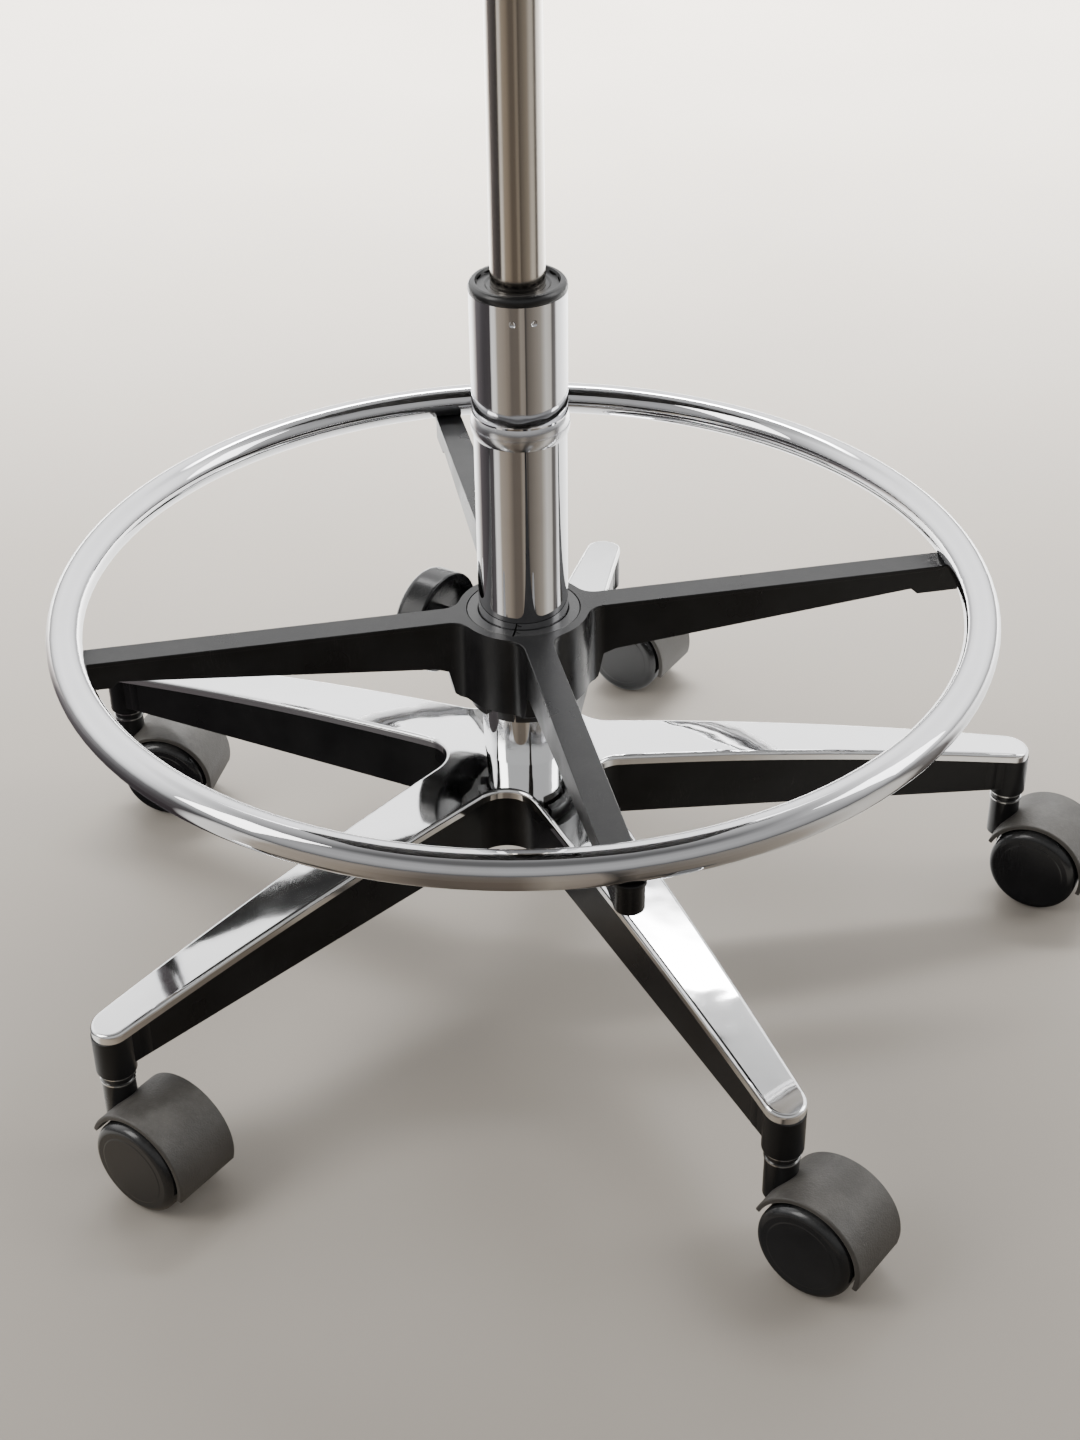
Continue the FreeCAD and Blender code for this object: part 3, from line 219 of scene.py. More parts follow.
def make_dust_group():
    tree, entry, result = new_group(
        "settled_dust", [("Vector", VECTOR, None), ("Amount", NUMBER, 0.3)], ["Mask"])
    facing = add(tree, NORMALS)
    upward = remap(tree, split(tree, facing.outputs["Normal"])["Z"], 0.1, 0.95)
    clouds = remap(tree, noise(tree, entry["Vector"], 48.0, 5.0, 0.7), 0.35, 0.75)
    specks = remap(tree, noise(tree, entry["Vector"], 1100.0, 2.0, 0.6), 0.62, 0.74)
    spread = calc(tree, "ADD", calc(tree, "MULTIPLY", clouds, CLOUD_SHARE),
                  calc(tree, "MULTIPLY", specks, SPECK_SHARE))
    landed = calc(tree, "MULTIPLY", spread, upward)
    feed(tree, result["Mask"], calc(tree, "MULTIPLY", landed, entry["Amount"], clamp=True))
    return tree


# %% [markdown]
# A scratch is a thin line, and noise has none. But where stretched noise passes through its middle
# value it draws long contour lines, and only a narrow band about that value is kept. Three
# directions are laid over each other, and a slow noise leaves some spots clean.


# %% Fine scratches
SCRATCH_SETS = ((0.3, 11.0), (1.4, 17.0), (2.3, 8.0))    # turn in radians, and stretch
ACROSS, ALONG = 55.0, 60.0       # scales of the noise; ALONG is for a stretch of 1
LINE_WIDTH = 0.012               # band of noise values that counts as a line


def make_scratch_group():
    tree, entry, result = new_group(
        "fine_scratches", [("Vector", VECTOR, None), ("Density", NUMBER, 0.5)], ["Mask"])
    total = None
    for turn, stretch in SCRATCH_SETS:
        turned = add(tree, "ShaderNodeMapping")
        feed(tree, turned.inputs["Vector"], entry["Vector"])
        turned.inputs["Rotation"].default_value = (turn, 0.6 * turn, turn)
        turned.inputs["Scale"].default_value = (stretch * ALONG, ACROSS, ACROSS)
        line = noise(tree, turned.outputs["Vector"], 1.0, 1.0, 0.4)
        off_middle = calc(tree, "ABSOLUTE", calc(tree, "SUBTRACT", line, 0.5))
        thin = remap(tree, off_middle, 0.0, LINE_WIDTH, 1.0, 0.0)
        total = thin if total is None else calc(tree, "MAXIMUM", total, thin)
    where = remap(tree, noise(tree, entry["Vector"], 31.0, 3.0, 0.6), 0.5, 0.72)
    patches = calc(tree, "MULTIPLY", total, where)
    feed(tree, result["Mask"], calc(tree, "MULTIPLY", patches, entry["Density"], clamp=True))
    return tree


# %% [markdown]
# Skin oil leaves a thin film on plated metal: large soft wipes, broken up by small spots. The film
# is too thin to have a height, so this group only makes a mask.


# %% Smudges on bright metal
def make_smudge_group():
    tree, entry, result = new_group(
        "hand_smudges", [("Vector", VECTOR, None), ("Amount", NUMBER, 0.5)], ["Mask"])
    wipe = noise(tree, entry["Vector"], 17.0, 6.0, 0.62)
    spots = noise(tree, entry["Vector"], 130.0, 3.0, 0.6)
    both = calc(tree, "MULTIPLY", remap(tree, wipe, 0.48, 0.78),
                remap(tree, spots, 0.3, 0.8, 0.4, 1.0))
    feed(tree, result["Mask"], calc(tree, "MULTIPLY", both, entry["Amount"], clamp=True))
    return tree


# %% Make the groups
GRAIN, EDGES, DUST = make_grain_group(), make_edge_group(), make_dust_group()
SCRATCHES, SMUDGES = make_scratch_group(), make_smudge_group()
print("groups", [g.name for g in bpy.data.node_groups])

# %% [markdown]
# ## A finish
# Each material has one Principled shader. A small class holds the material, its tree, its shader
# and the Object coordinates together, so that a finish below is only the numbers and effects that
# make it different. Object coordinates are in metres on every part, so one scale suits them all.


# %% Place a group, and start a finish
def place(tree, group, vector, **values):
    """A group in a material, with its own values; gives its outputs."""
    made = add(tree, "ShaderNodeGroup", node_tree=group)
    feed(tree, made.inputs["Vector"], vector)
    for name, value in values.items():
        feed(tree, made.inputs[name.replace("_", " ")], value)
    return made.outputs


class Finish:
    """A material with one Principled shader, and the coordinates that its patterns read."""

    def __init__(self, name, **sockets):
        self.material = bpy.data.materials.new(name)
        self.material.use_nodes = True
        self.tree = self.material.node_tree
        self.shader = self.tree.nodes["Principled BSDF"]
        self.where = add(self.tree, "ShaderNodeTexCoord").outputs["Object"]
        for label, value in sockets.items():
            self.shader.inputs[label.replace("_", " ")].default_value = value

    def set(self, label, source):
        """Sets or links one socket of the shader."""
        feed(self.tree, self.shader.inputs[label], source)

    def bump(self, height, distance, strength=1.0, below=None):
        """Raises the surface by a height in metres, over the bump below it if there is one."""
        made = add(self.tree, "ShaderNodeBump")
        made.inputs["Strength"].default_value = strength
        made.inputs["Distance"].default_value = distance
        feed(self.tree, made.inputs["Height"], height)
        if below is not None:
            feed(self.tree, made.inputs["Normal"], below)
        self.set("Normal", made.outputs["Normal"])
        return made.outputs["Normal"]


# %% [markdown]
# ## Bright metals
# The star's deck is cast aluminium, ground and then polished by hand. A mirror alone looks like
# glass, so the finish has three small faults: a slow waviness that bends the reflections, a faint
# haze where it was handled, and hairlines from the last polishing wheel.


# %% Polished aluminium
WAVE_DEPTH, POLISH_DEPTH = 0.00035, 0.000002


def polished_aluminium():
    f = Finish("polished_aluminium", Metallic=1.0)
    t = f.tree
    haze = place(t, SMUDGES, f.where, Amount=0.8)["Mask"]
    hair = place(t, SCRATCHES, f.where, Density=0.35)["Mask"]
    cloud = noise(t, f.where, 14.0, 3.0, 0.5)
    cool, warm = (0.86, 0.865, 0.875, 1), (0.93, 0.93, 0.93, 1)
    f.set("Base Color", blend_colours(t, cloud, cool, warm))
    rough = calc(t, "ADD", remap(t, cloud, 0.35, 0.65, 0.03, 0.06), calc(t, "MULTIPLY", haze, 0.1))
    f.set("Roughness", calc(t, "ADD", rough, calc(t, "MULTIPLY", hair, 0.15)))
    waves = f.bump(noise(t, f.where, 26.0, 2.0, 0.45), WAVE_DEPTH)
    f.bump(noise(t, f.where, 900.0, 2.0, 0.6), POLISH_DEPTH, below=waves)
    return f.material


# %% [markdown]
# Chrome plate is smoother than polished aluminium and a little bluer. The same finish serves the
# foot ring and the column. On the column's sleeve the rolled bead is left satin, so a band between
# two heights is rougher and grained. The heights come from the sleeve's own box.

# %% Heights of the rolled bead
BEAD_HEIGHT, BEAD_SOFT = 0.012, 0.0012
sleeve_low, sleeve_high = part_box("column_sleeve")
BEAD_FOOT, BEAD_TOP = sleeve_low.z, sleeve_low.z + BEAD_HEIGHT
print("bead", round(BEAD_FOOT, 4), round(BEAD_TOP, 4), "sleeve top", round(sleeve_high.z, 4))


# %% Chrome
PLATE_DEPTH, GRIT_DEPTH = 0.00006, 0.00003
PLATE_ROUGH, BAND_ROUGH = 0.02, 0.13


def chrome(name, banded=False):
    f = Finish(name, Metallic=1.0)
    t = f.tree
    haze = place(t, SMUDGES, f.where, Amount=0.6)["Mask"]
    hair = place(t, SCRATCHES, f.where, Density=0.25)["Mask"]
    f.set("Base Color", blend_colours(t, haze, (0.66, 0.66, 0.675, 1), (0.58, 0.575, 0.57, 1)))
    rough = calc(t, "ADD", calc(t, "MULTIPLY", haze, 0.09), calc(t, "MULTIPLY", hair, 0.1))
    rough = calc(t, "ADD", rough, PLATE_ROUGH)
    fine = f.bump(noise(t, f.where, 40.0, 2.0, 0.5), PLATE_DEPTH)
    if banded:
        z = split(t, f.where)["Z"]
        above = remap(t, z, BEAD_FOOT - BEAD_SOFT, BEAD_FOOT + BEAD_SOFT)
        below = remap(t, z, BEAD_TOP - BEAD_SOFT, BEAD_TOP + BEAD_SOFT, 1.0, 0.0)
        band = calc(t, "MULTIPLY", above, below)
        rough = calc(t, "ADD", rough, calc(t, "MULTIPLY", band, BAND_ROUGH))
        grit = calc(t, "MULTIPLY", noise(t, f.where, 2200.0, 3.0, 0.6), band)
        f.bump(grit, GRIT_DEPTH, below=fine)
    f.set("Roughness", rough)
    return f.material


# %% [markdown]
# The gas cylinder is ground between two wheels, which leaves rings of very fine lines round it.
# They spread each reflection up and down, so the rod shows long soft streaks. A noise that changes
# fast with height and slowly round the rod makes the rings.


# %% Ground steel
ROUND_SCALE = 6.0                # the rings change slowly in X and Y
RING_DEPTH = 0.000012


def ground_steel(name, colour, rings_per_metre=2600.0):
    f = Finish(name, Metallic=1.0)
    t = f.tree
    rings = add(t, "ShaderNodeMapping")
    feed(t, rings.inputs["Vector"], f.where)
    rings.inputs["Scale"].default_value = (ROUND_SCALE, ROUND_SCALE, rings_per_metre)
    line = noise(t, rings.outputs["Vector"], 1.0, 4.0, 0.7)
    haze = place(t, SMUDGES, f.where, Amount=0.7)["Mask"]
    dull = tuple(0.8 * c for c in colour[:3]) + (1,)
    f.set("Base Color", blend_colours(t, calc(t, "MULTIPLY", line, 0.6), colour, dull))
    f.set("Roughness", calc(t, "ADD", remap(t, line, 0.25, 0.75, 0.1, 0.19),
                            calc(t, "MULTIPLY", haze, 0.12)))
    f.bump(line, RING_DEPTH)
    return f.material


# %% [markdown]
# ## Painted and moulded blacks
# Nothing on the chair is pure black. Powder coat has a fine orange-peel skin, mouldings have a
# spark-eroded texture, their edges get a painted highlight, and both turn greyer where dust lies.
# One function builds them all, and each finish says how much of each effect it has.


# %% Black finishes
DUST_COLOUR = (0.34, 0.325, 0.3, 1)
EDGE_GAIN = 5.0                  # how fast an edge comes up to the full painted highlight
SCRATCH_PALENESS = 0.5           # against the painted edge highlight
DUST_ROUGH = 0.3


def black_finish(name, colour, glint_and_scratch_colour, rough=(0.3, 0.45), grains=900.0, depth=0.00002,
                 edge=0.6, edge_width=0.0006, dust=0.25, scratch=0.3, **sockets):
    """A dark paint or plastic; rough is from its smoothest to its roughest spots."""
    f = Finish(name, **sockets)
    t = f.tree
    grain = place(t, GRAIN, f.where, Grains_Per_Metre=grains)
    # The edge mask paints a highlight along the corners; the scratch lines are real wear.
    glint_mask = place(t, EDGES, f.where, Width=edge_width, Gain=EDGE_GAIN)["Mask"]
    powder = place(t, DUST, f.where, Amount=dust)["Mask"]
    lines = place(t, SCRATCHES, f.where, Density=scratch)["Mask"]
    lighter = tuple(min(1.0, 1.35 * c + 0.004) for c in colour[:3]) + (1,)
    base = blend_colours(t, grain["Tone"], colour, lighter)
    # Paler where the painted edge highlight lies, and along the scratches.
    paled = calc(t, "MAXIMUM", calc(t, "MULTIPLY", glint_mask, edge),
                calc(t, "MULTIPLY", lines, SCRATCH_PALENESS))
    base = blend_colours(t, paled, base, glint_and_scratch_colour)
    f.set("Base Color", blend_colours(t, powder, base, DUST_COLOUR))
    skin = remap(t, grain["Tone"], 0.0, 1.0, *rough)
    f.set("Roughness", calc(t, "ADD", skin, calc(t, "MULTIPLY", powder, DUST_ROUGH), clamp=True))
    f.bump(grain["Height"], depth)
    return f.material


# %% [markdown]
# ## One finish for each material slot
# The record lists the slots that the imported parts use. A dictionary gives each slot its finish, and
# a loop puts it on every part. Each black is named for its part: the castings and forks are smooth
# and dark, and the caster hoods are a browner, rougher moulding.

# %% Finishes by slot
finishes = {
    "polished_aluminium": polished_aluminium(),
    "chrome_tube": chrome("chrome_tube"),
    "cylinder_steel": ground_steel("cylinder_steel", (0.56, 0.52, 0.47, 1)),
    "bright_steel": ground_steel("bright_steel", (0.7, 0.7, 0.69, 1),
                                 rings_per_metre=900.0),
    "black_casting": black_finish("black_casting", (0.0045, 0.0045, 0.005, 1),
                                  (0.09, 0.09, 0.088, 1), rough=(0.27, 0.36), grains=1400.0,
                                  depth=0.000025, dust=0.03, edge=0.45, Specular_IOR_Level=0.28),
    "collet_black": black_finish("collet_black", (0.012, 0.012, 0.0125, 1), (0.12, 0.12, 0.12, 1),
                                 rough=(0.25, 0.34), grains=1800.0, depth=0.000018, dust=0.04,
                                 Specular_IOR_Level=0.45),
    "guide_plastic": black_finish("guide_plastic", (0.006, 0.006, 0.0065, 1), (0.06, 0.06, 0.06, 1),
                                  rough=(0.28, 0.4), grains=2200.0, depth=0.000015, dust=0.08),
    "black_screws": black_finish("black_screws", (0.02, 0.02, 0.02, 1), (0.25, 0.24, 0.23, 1),
                                 rough=(0.3, 0.45), edge=0.8, edge_width=0.0003, dust=0.05,
                                 Metallic=0.6),
    "sleeve_nylon": black_finish("sleeve_nylon", (0.16, 0.16, 0.155, 1), (0.25, 0.25, 0.24, 1)),
    "bumper_rubber": black_finish("bumper_rubber", (0.02, 0.02, 0.02, 1), (0.06, 0.06, 0.06, 1),
                                  rough=(0.6, 0.75)),
    "fork_plastic": black_finish("fork_plastic", (0.005, 0.005, 0.0055, 1), (0.05, 0.05, 0.05, 1),
                                 rough=(0.2, 0.3), grains=1500.0, depth=0.000012, dust=0.04),
    "hood_plastic": black_finish("hood_plastic", (0.047, 0.043, 0.038, 1), (0.16, 0.15, 0.135, 1),
                                 rough=(0.48, 0.6), grains=1250.0, depth=0.00018, edge=0.55,
                                 edge_width=0.001, dust=0.22, scratch=0.4),
    "wheel_plastic": black_finish("wheel_plastic", (0.009, 0.0095, 0.0105, 1),
                                  (0.07, 0.07, 0.07, 1), rough=(0.16, 0.25), grains=1700.0,
                                  depth=0.00001, edge=0.4, dust=0.12, scratch=0.4),
    "black_steel": black_finish("black_steel", (0.007, 0.007, 0.0075, 1), (0.1, 0.1, 0.1, 1),
                                rough=(0.35, 0.5), grains=1100.0, depth=0.00003, dust=0.08),
    "grip_plastic": black_finish("grip_plastic", (0.006, 0.006, 0.0065, 1), (0.05, 0.05, 0.05, 1),
                                 rough=(0.22, 0.34), grains=1500.0, depth=0.00002, dust=0.03,
                                 Specular_IOR_Level=0.35),
    "shell_plastic": black_finish("shell_plastic", (0.014, 0.014, 0.015, 1), (0.06, 0.06, 0.06, 1),
                                  rough=(0.45, 0.58), grains=1200.0, depth=0.00006, dust=0.1),
}
for part in nodes.values():
    slot = part.data.materials[0].name.split(".")[0] if part.data.materials else None
    if slot in finishes:
        part.material_slots[0].material = finishes[slot]
nodes["column_sleeve"].material_slots[0].material = chrome("chrome_sleeve", banded=True)
print("finishes", len(finishes))

# %% [markdown]
# ## Woven upholstery
# The seat and the back are covered in a plain black weave: threads cross over and under each other
# about two millimetres apart. A cloth that was stretched over foam has no UV map worth keeping, so
# the weave is drawn three times, along each axis, and each face takes the one that it lies flat to.


# %% One thread
def round_thread(tree, along):
    """One thread's round back, from its place across the threads."""
    return calc(tree, "ABSOLUTE", calc(tree, "SINE", calc(tree, "MULTIPLY", along, math.pi)))


# %% Plain weave, drawn along three axes
THREAD_WOBBLE = 0.35             # how far a thread wanders, in threads
FLATNESS_POWER = 6.0             # higher makes the change from one axis to the next sharper
UNDER_PINCH = 0.35               # how sharply a weft thread dips under the warp


def make_weave_group():
    tree, entry, result = new_group(
        "plain_weave", [("Vector", VECTOR, None), ("Threads Per Metre", NUMBER, 450.0)],
        ["Height", "Tone"])
    wobble = noise(tree, entry["Vector"], 160.0, 2.0, 0.5)
    scaled = add(tree, "ShaderNodeVectorMath", operation="SCALE")
    feed(tree, scaled.inputs[0], entry["Vector"])
    feed(tree, scaled.inputs["Scale"], entry["Threads Per Metre"])
    straight = split(tree, scaled.outputs["Vector"])
    along = [calc(tree, "ADD", straight[axis], calc(tree, "MULTIPLY", wobble, THREAD_WOBBLE))
             for axis in ("X", "Y", "Z")]
    facing = add(tree, NORMALS)
    normal = split(tree, facing.outputs["Normal"])
    height, tone, total = 0.0, 0.0, 0.0
    for axis, (first, second) in (("X", (1, 2)), ("Y", (0, 2)), ("Z", (0, 1))):
        flatness = calc(tree, "POWER", calc(tree, "ABSOLUTE", normal[axis]), FLATNESS_POWER)
        warp = round_thread(tree, along[first])
        weft = round_thread(tree, along[second])
        cells = calc(tree, "ADD", calc(tree, "FLOOR", along[first]),
                     calc(tree, "FLOOR", along[second]))
        over = calc(tree, "FLOORED_MODULO", cells, 2.0)
        under = calc(tree, "SUBTRACT", 1.0, over)
        warp_up = calc(tree, "MULTIPLY", calc(tree, "MULTIPLY", warp, over), weft)
        weft_up = calc(tree, "MULTIPLY", calc(tree, "MULTIPLY", weft, under),
                       calc(tree, "POWER", warp, UNDER_PINCH))
        up = calc(tree, "ADD", warp_up, weft_up)
        height = calc(tree, "ADD", height, calc(tree, "MULTIPLY", up, flatness))
        tone = calc(tree, "ADD", tone, calc(tree, "MULTIPLY", over, flatness))
        total = calc(tree, "ADD", total, flatness)
    feed(tree, result["Height"], calc(tree, "DIVIDE", height, total))
    feed(tree, result["Tone"], calc(tree, "DIVIDE", tone, total))
    return tree


# %% [markdown]
# Yarn is never one black. The gaps between threads get painted shade, darkest where the weave is
# lowest; every other thread is a little lighter, and worn patches and lint are greyer. Fine fuzz
# on the bump and a little sheen give the soft edge that cloth shows against the light.


# %% Woven cloth
GAP_SHADE = (0.004, 0.004, 0.0045, 1)
YARN, PALE_YARN = (0.013, 0.013, 0.0145, 1), (0.024, 0.024, 0.0265, 1)
WORN_YARN, LINT = (0.035, 0.034, 0.034, 1), (0.3, 0.29, 0.28, 1)
WEAR_SHARE, FUZZ_SHARE = 0.35, 0.25
THREAD_HEIGHT = 0.00035


def woven_cloth(name, threads=450.0):
    f = Finish(name, Sheen_Weight=0.25, Sheen_Roughness=0.5, Specular_IOR_Level=0.3)
    t = f.tree
    weave = place(t, WEAVE, f.where, Threads_Per_Metre=threads)
    fuzz = noise(t, f.where, 2600.0, 3.0, 0.65)
    soft = remap(t, noise(t, f.where, 9.0, 4.0, 0.6), 0.35, 0.65)
    lint = place(t, DUST, f.where, Amount=0.12)["Mask"]
    yarn = blend_colours(t, weave["Tone"], YARN, PALE_YARN)
    # Painted shade in the gaps: the lower the weave, the darker the yarn.
    gap_shaded = blend_colours(t, weave["Height"], GAP_SHADE, yarn)
    paled = blend_colours(t, calc(t, "MULTIPLY", soft, WEAR_SHARE), gap_shaded, WORN_YARN)
    f.set("Base Color", blend_colours(t, lint, paled, LINT))
    f.set("Roughness", remap(t, soft, 0.0, 1.0, 0.78, 0.9))
    height = calc(t, "ADD", weave["Height"], calc(t, "MULTIPLY", fuzz, FUZZ_SHARE))
    f.bump(height, THREAD_HEIGHT, strength=0.8)
    return f.material


WEAVE = make_weave_group()
cloth = woven_cloth("black_weave")
piping_cloth = woven_cloth("piping_weave", threads=700.0)
print("cloth ready")

# %% [markdown]
# ## Cushions
# Each cushion is foam in a sewn cover: a top panel, a side band, and a welt of piping where they
# meet. Foam under a tight cover crowns in the middle and pulls in between its corners, and a cloth
# simulation gives that shape by blowing up a slightly small skin while its underside is held. The
# back is bent, so it is straightened first, blown up flat, sewn, and bent again at the end.

# %% Sizes of the foam and the sewing
PRESSURE = 2.0
FRAMES = 20
QUALITY_STEPS = 6
STRETCH, SHEAR, BENDING = 40.0, 30.0, 12.0
HELD_BAND = 0.004                # points this near the resting face don't move
MOST_SWELL = 0.016               # firm foam: no point moves further than this
CRAMP = 0.004                    # start this much smaller at each side
LOWER = 0.011                    # and this much thinner
EASE_ROUNDS = 40                 # rounds of smoothing that take out small creases
SEAM_DEPTH, SEAM_WIDTH = 0.0022, 0.0045
PIPING_RADIUS, PIPING_STEP = 0.0023, 0.010
SAME_POINT = 1e-6
print("most swell", MOST_SWELL, "piping", 2 * PIPING_RADIUS)

# %% [markdown]
# The back cushion follows a round shell. Straightening puts each point at its distance from the
# shell's axis, so the rear face becomes flat, and bending does exactly the opposite.


# %% Straighten and bend
back_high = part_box("back_cushion")[1]
SHELL_CURVE = 0.495              # radius of the cushion's rear face
BEND_AXIS_Y = back_high.y - SHELL_CURVE


def straighten(bm):
    """Opens the back's curve, so that its rear face is flat."""
    for v in bm.verts:
        v.co.y = math.hypot(v.co.x, v.co.y - BEND_AXIS_Y) + BEND_AXIS_Y


def bend(bm):
    """Undoes straighten."""
    for v in bm.verts:
        reach = v.co.y - BEND_AXIS_Y
        v.co.y = BEND_AXIS_Y + math.sqrt(reach * reach - v.co.x * v.co.x)


# %% Mesh helpers
def finished_mesh(obj):
    """A new mesh of an object, with its modifiers or its tube applied."""
    view = bpy.context.evaluated_depsgraph_get()
    return bpy.data.meshes.new_from_object(obj.evaluated_get(view))


def settled(obj):
    """Applies an object's modifiers to its mesh."""
    mesh = finished_mesh(obj)
    obj.modifiers.clear()
    obj.data = mesh
    return mesh


def edit(obj, change):
    """Runs a change on an object's mesh."""
    bm = bmesh.new()
    bm.from_mesh(obj.data)
    change(bm)
    bm.to_mesh(obj.data)
    bm.free()


def linked(name, data):
    """A new object in the scene."""
    obj = bpy.data.objects.new(name, data)
    bpy.context.scene.collection.objects.link(obj)
    return obj


# %% [markdown]
# The skin starts as a copy of the cushion's own solid, a few millimetres smaller, because it
# swells. Long thin triangles crease badly, so a voxel remesh first makes small even squares of it.


# %% Start skin
def start_skin(name, node, thick_axis, rest_value, voxel, unbend=False):
    """An even, slightly small skin of a CAD cushion; it stays on its resting face."""
    skin = linked(name, nodes[node].data.copy())

    def prepare(bm):
        bmesh.ops.remove_doubles(bm, verts=bm.verts, dist=SAME_POINT)
        if unbend:
            straighten(bm)
        low = [min(v.co[i] for v in bm.verts) for i in range(3)]
        high = [max(v.co[i] for v in bm.verts) for i in range(3)]
        for v in bm.verts:
            for i in range(3):
                middle, half = (low[i] + high[i]) / 2, (high[i] - low[i]) / 2
                if i == thick_axis:
                    v.co[i] = rest_value + (v.co[i] - rest_value) * (1 - LOWER / (2 * half))
                else:
                    v.co[i] = middle + (v.co[i] - middle) * (1 - CRAMP / half)

    edit(skin, prepare)
    remesh = skin.modifiers.new("even", "REMESH")
    remesh.mode, remesh.voxel_size = "VOXEL", voxel
    settled(skin)
    return skin


# %% [markdown]
# Pressure blows the skin up like a pillow while the resting face is held. Real foam resists more
# the further it is pushed, so each point's move is eased towards a limit. Rounds of smoothing then
# take out the creases that thin cloth makes and stretched upholstery doesn't.


# %% Swell the skin
def swell(skin, thick_axis, rest_value):
    """Runs the cloth simulation on a skin and keeps its result."""
    def off_rest(v):
        return abs(v.co[thick_axis] - rest_value)

    start = [v.co.copy() for v in skin.data.vertices]
    held = skin.vertex_groups.new(name="held")
    held.add([v.index for v in skin.data.vertices if off_rest(v) < HELD_BAND], 1.0, "REPLACE")
    soft = skin.modifiers.new("foam", "CLOTH")
    soft.settings.quality = QUALITY_STEPS
    soft.settings.use_pressure = True
    soft.settings.uniform_pressure_force = PRESSURE
    soft.settings.vertex_group_mass = "held"
    soft.settings.tension_stiffness = soft.settings.compression_stiffness = STRETCH
    soft.settings.shear_stiffness = SHEAR
    soft.settings.bending_stiffness = BENDING
    soft.settings.effector_weights.gravity = 0
    for frame_number in range(1, FRAMES + 1):
        bpy.context.scene.frame_set(frame_number)
    mesh = settled(skin)
    for v, was in zip(mesh.vertices, start):
        move = v.co - was
        if move.length > 0:
            v.co = was + move * (MOST_SWELL * math.tanh(move.length / MOST_SWELL) / move.length)
    bpy.context.scene.frame_set(1)

    def ease(bm):
        free = [v for v in bm.verts if off_rest(v) > HELD_BAND]
        for _ in range(EASE_ROUNDS):
            bmesh.ops.smooth_vert(bm, verts=free, factor=0.5, use_axis_x=True, use_axis_y=True,
                                  use_axis_z=True)

    edit(skin, ease)


# %% [markdown]
# Piping is a cord wrapped in cloth and sewn into the seam, and the thread pulls the cover in beside
# it. A cut through the skin at the seam's level gives the outline. Its points, sorted by angle and
# thinned out, carry a smooth closed curve with a round bevel.


# %% Sew a seam and make its piping
def seam_loop(obj, axis, level):
    """The cushion's outline at the seam: evenly spaced points, in order round it."""
    normal = [0.0, 0.0, 0.0]
    normal[axis] = 1.0
    bm = bmesh.new()
    bm.from_mesh(obj.data)
    bmesh.ops.bisect_plane(bm, geom=bm.verts[:] + bm.edges[:] + bm.faces[:],
                           dist=SAME_POINT, plane_co=Vector(normal) * level,
                           plane_no=normal, clear_inner=True, clear_outer=True)
    spots = [v.co.copy() for v in bm.verts]
    bm.free()
    centre = sum(spots, Vector()) / len(spots)
    first, second = [i for i in range(3) if i != axis]
    spots.sort(key=lambda p: math.atan2(p[second] - centre[second], p[first] - centre[first]))
    chosen = [spots[0]]
    for spot in spots:
        from_last, from_first = (spot - chosen[-1]).length, (spot - chosen[0]).length
        if from_last > PIPING_STEP and from_first > PIPING_STEP / 2:
            chosen.append(spot)
    return chosen


def pull_in(obj, axis, level):
    """Draws the skin in along a seam that lies across one axis."""
    def draw(bm):
        bm.normal_update()
        for v in bm.verts:
            share = math.exp(-((v.co[axis] - level) / SEAM_WIDTH) ** 2)
            v.co -= v.normal * (SEAM_DEPTH * share * (1.0 - abs(v.normal[axis])))

    edit(obj, draw)


def piping(name, spots):
    """A welt: a thin tube on a smooth closed curve through the seam."""
    data = bpy.data.curves.new(name, "CURVE")
    data.dimensions = "3D"
    line = data.splines.new("NURBS")
    line.points.add(len(spots) - 1)
    for point, spot in zip(line.points, spots):
        point.co = (*spot, 1.0)
    line.use_cyclic_u = True
    line.order_u = 4
    line.resolution_u = 3
    data.bevel_depth = PIPING_RADIUS
    data.bevel_resolution = 3
    rope = linked(name + "_curve", data)
    mesh = finished_mesh(rope)
    bpy.data.objects.remove(rope)
    return linked(name, mesh)


# %% [markdown]
# Both cushions go through the same steps: start, swell, one subdivision, seam, piping, and cloth.
# Each rides on the body that its shell belongs to, and stands for its plain solid.


# %% One cushion, start to finish
def cushion(name, node, body, thick_axis, rest_value, seam_level, voxel, bent=False):
    """A sewn cushion and its piping; thick_axis is 0, 1 or 2, for X, Y or Z."""
    skin = start_skin(name, node, thick_axis, rest_value, voxel, unbend=bent)
    swell(skin, thick_axis, rest_value)
    finer = skin.modifiers.new("finer", "SUBSURF")
    finer.levels = finer.render_levels = 1
    settled(skin)
    pull_in(skin, thick_axis, seam_level)
    welt = piping(name + "_piping", seam_loop(skin, thick_axis, seam_level))
    for piece, finish in ((skin, cloth), (welt, piping_cloth)):
        if bent:
            edit(piece, bend)
        piece.data.materials.clear()
        piece.data.materials.append(finish)
        piece.data.polygons.foreach_set("use_smooth", [True] * len(piece.data.polygons))
        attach(piece, body)
    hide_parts(node)
    print(name, len(skin.data.vertices), "points, piping", len(welt.data.vertices))


# %% Seat and back
SEAT_SEAM, BACK_SEAM = 0.034, 0.019      # from the resting face to the piping
seat_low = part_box("seat_cushion")[0]
cushion("seat_pad", "seat_cushion", "lift", 2, seat_low.z, seat_low.z + SEAT_SEAM,
        voxel=0.006)
cushion("back_pad", "back_cushion", "backrest", 1, back_high.y, back_high.y - BACK_SEAM,
        voxel=0.005, bent=True)

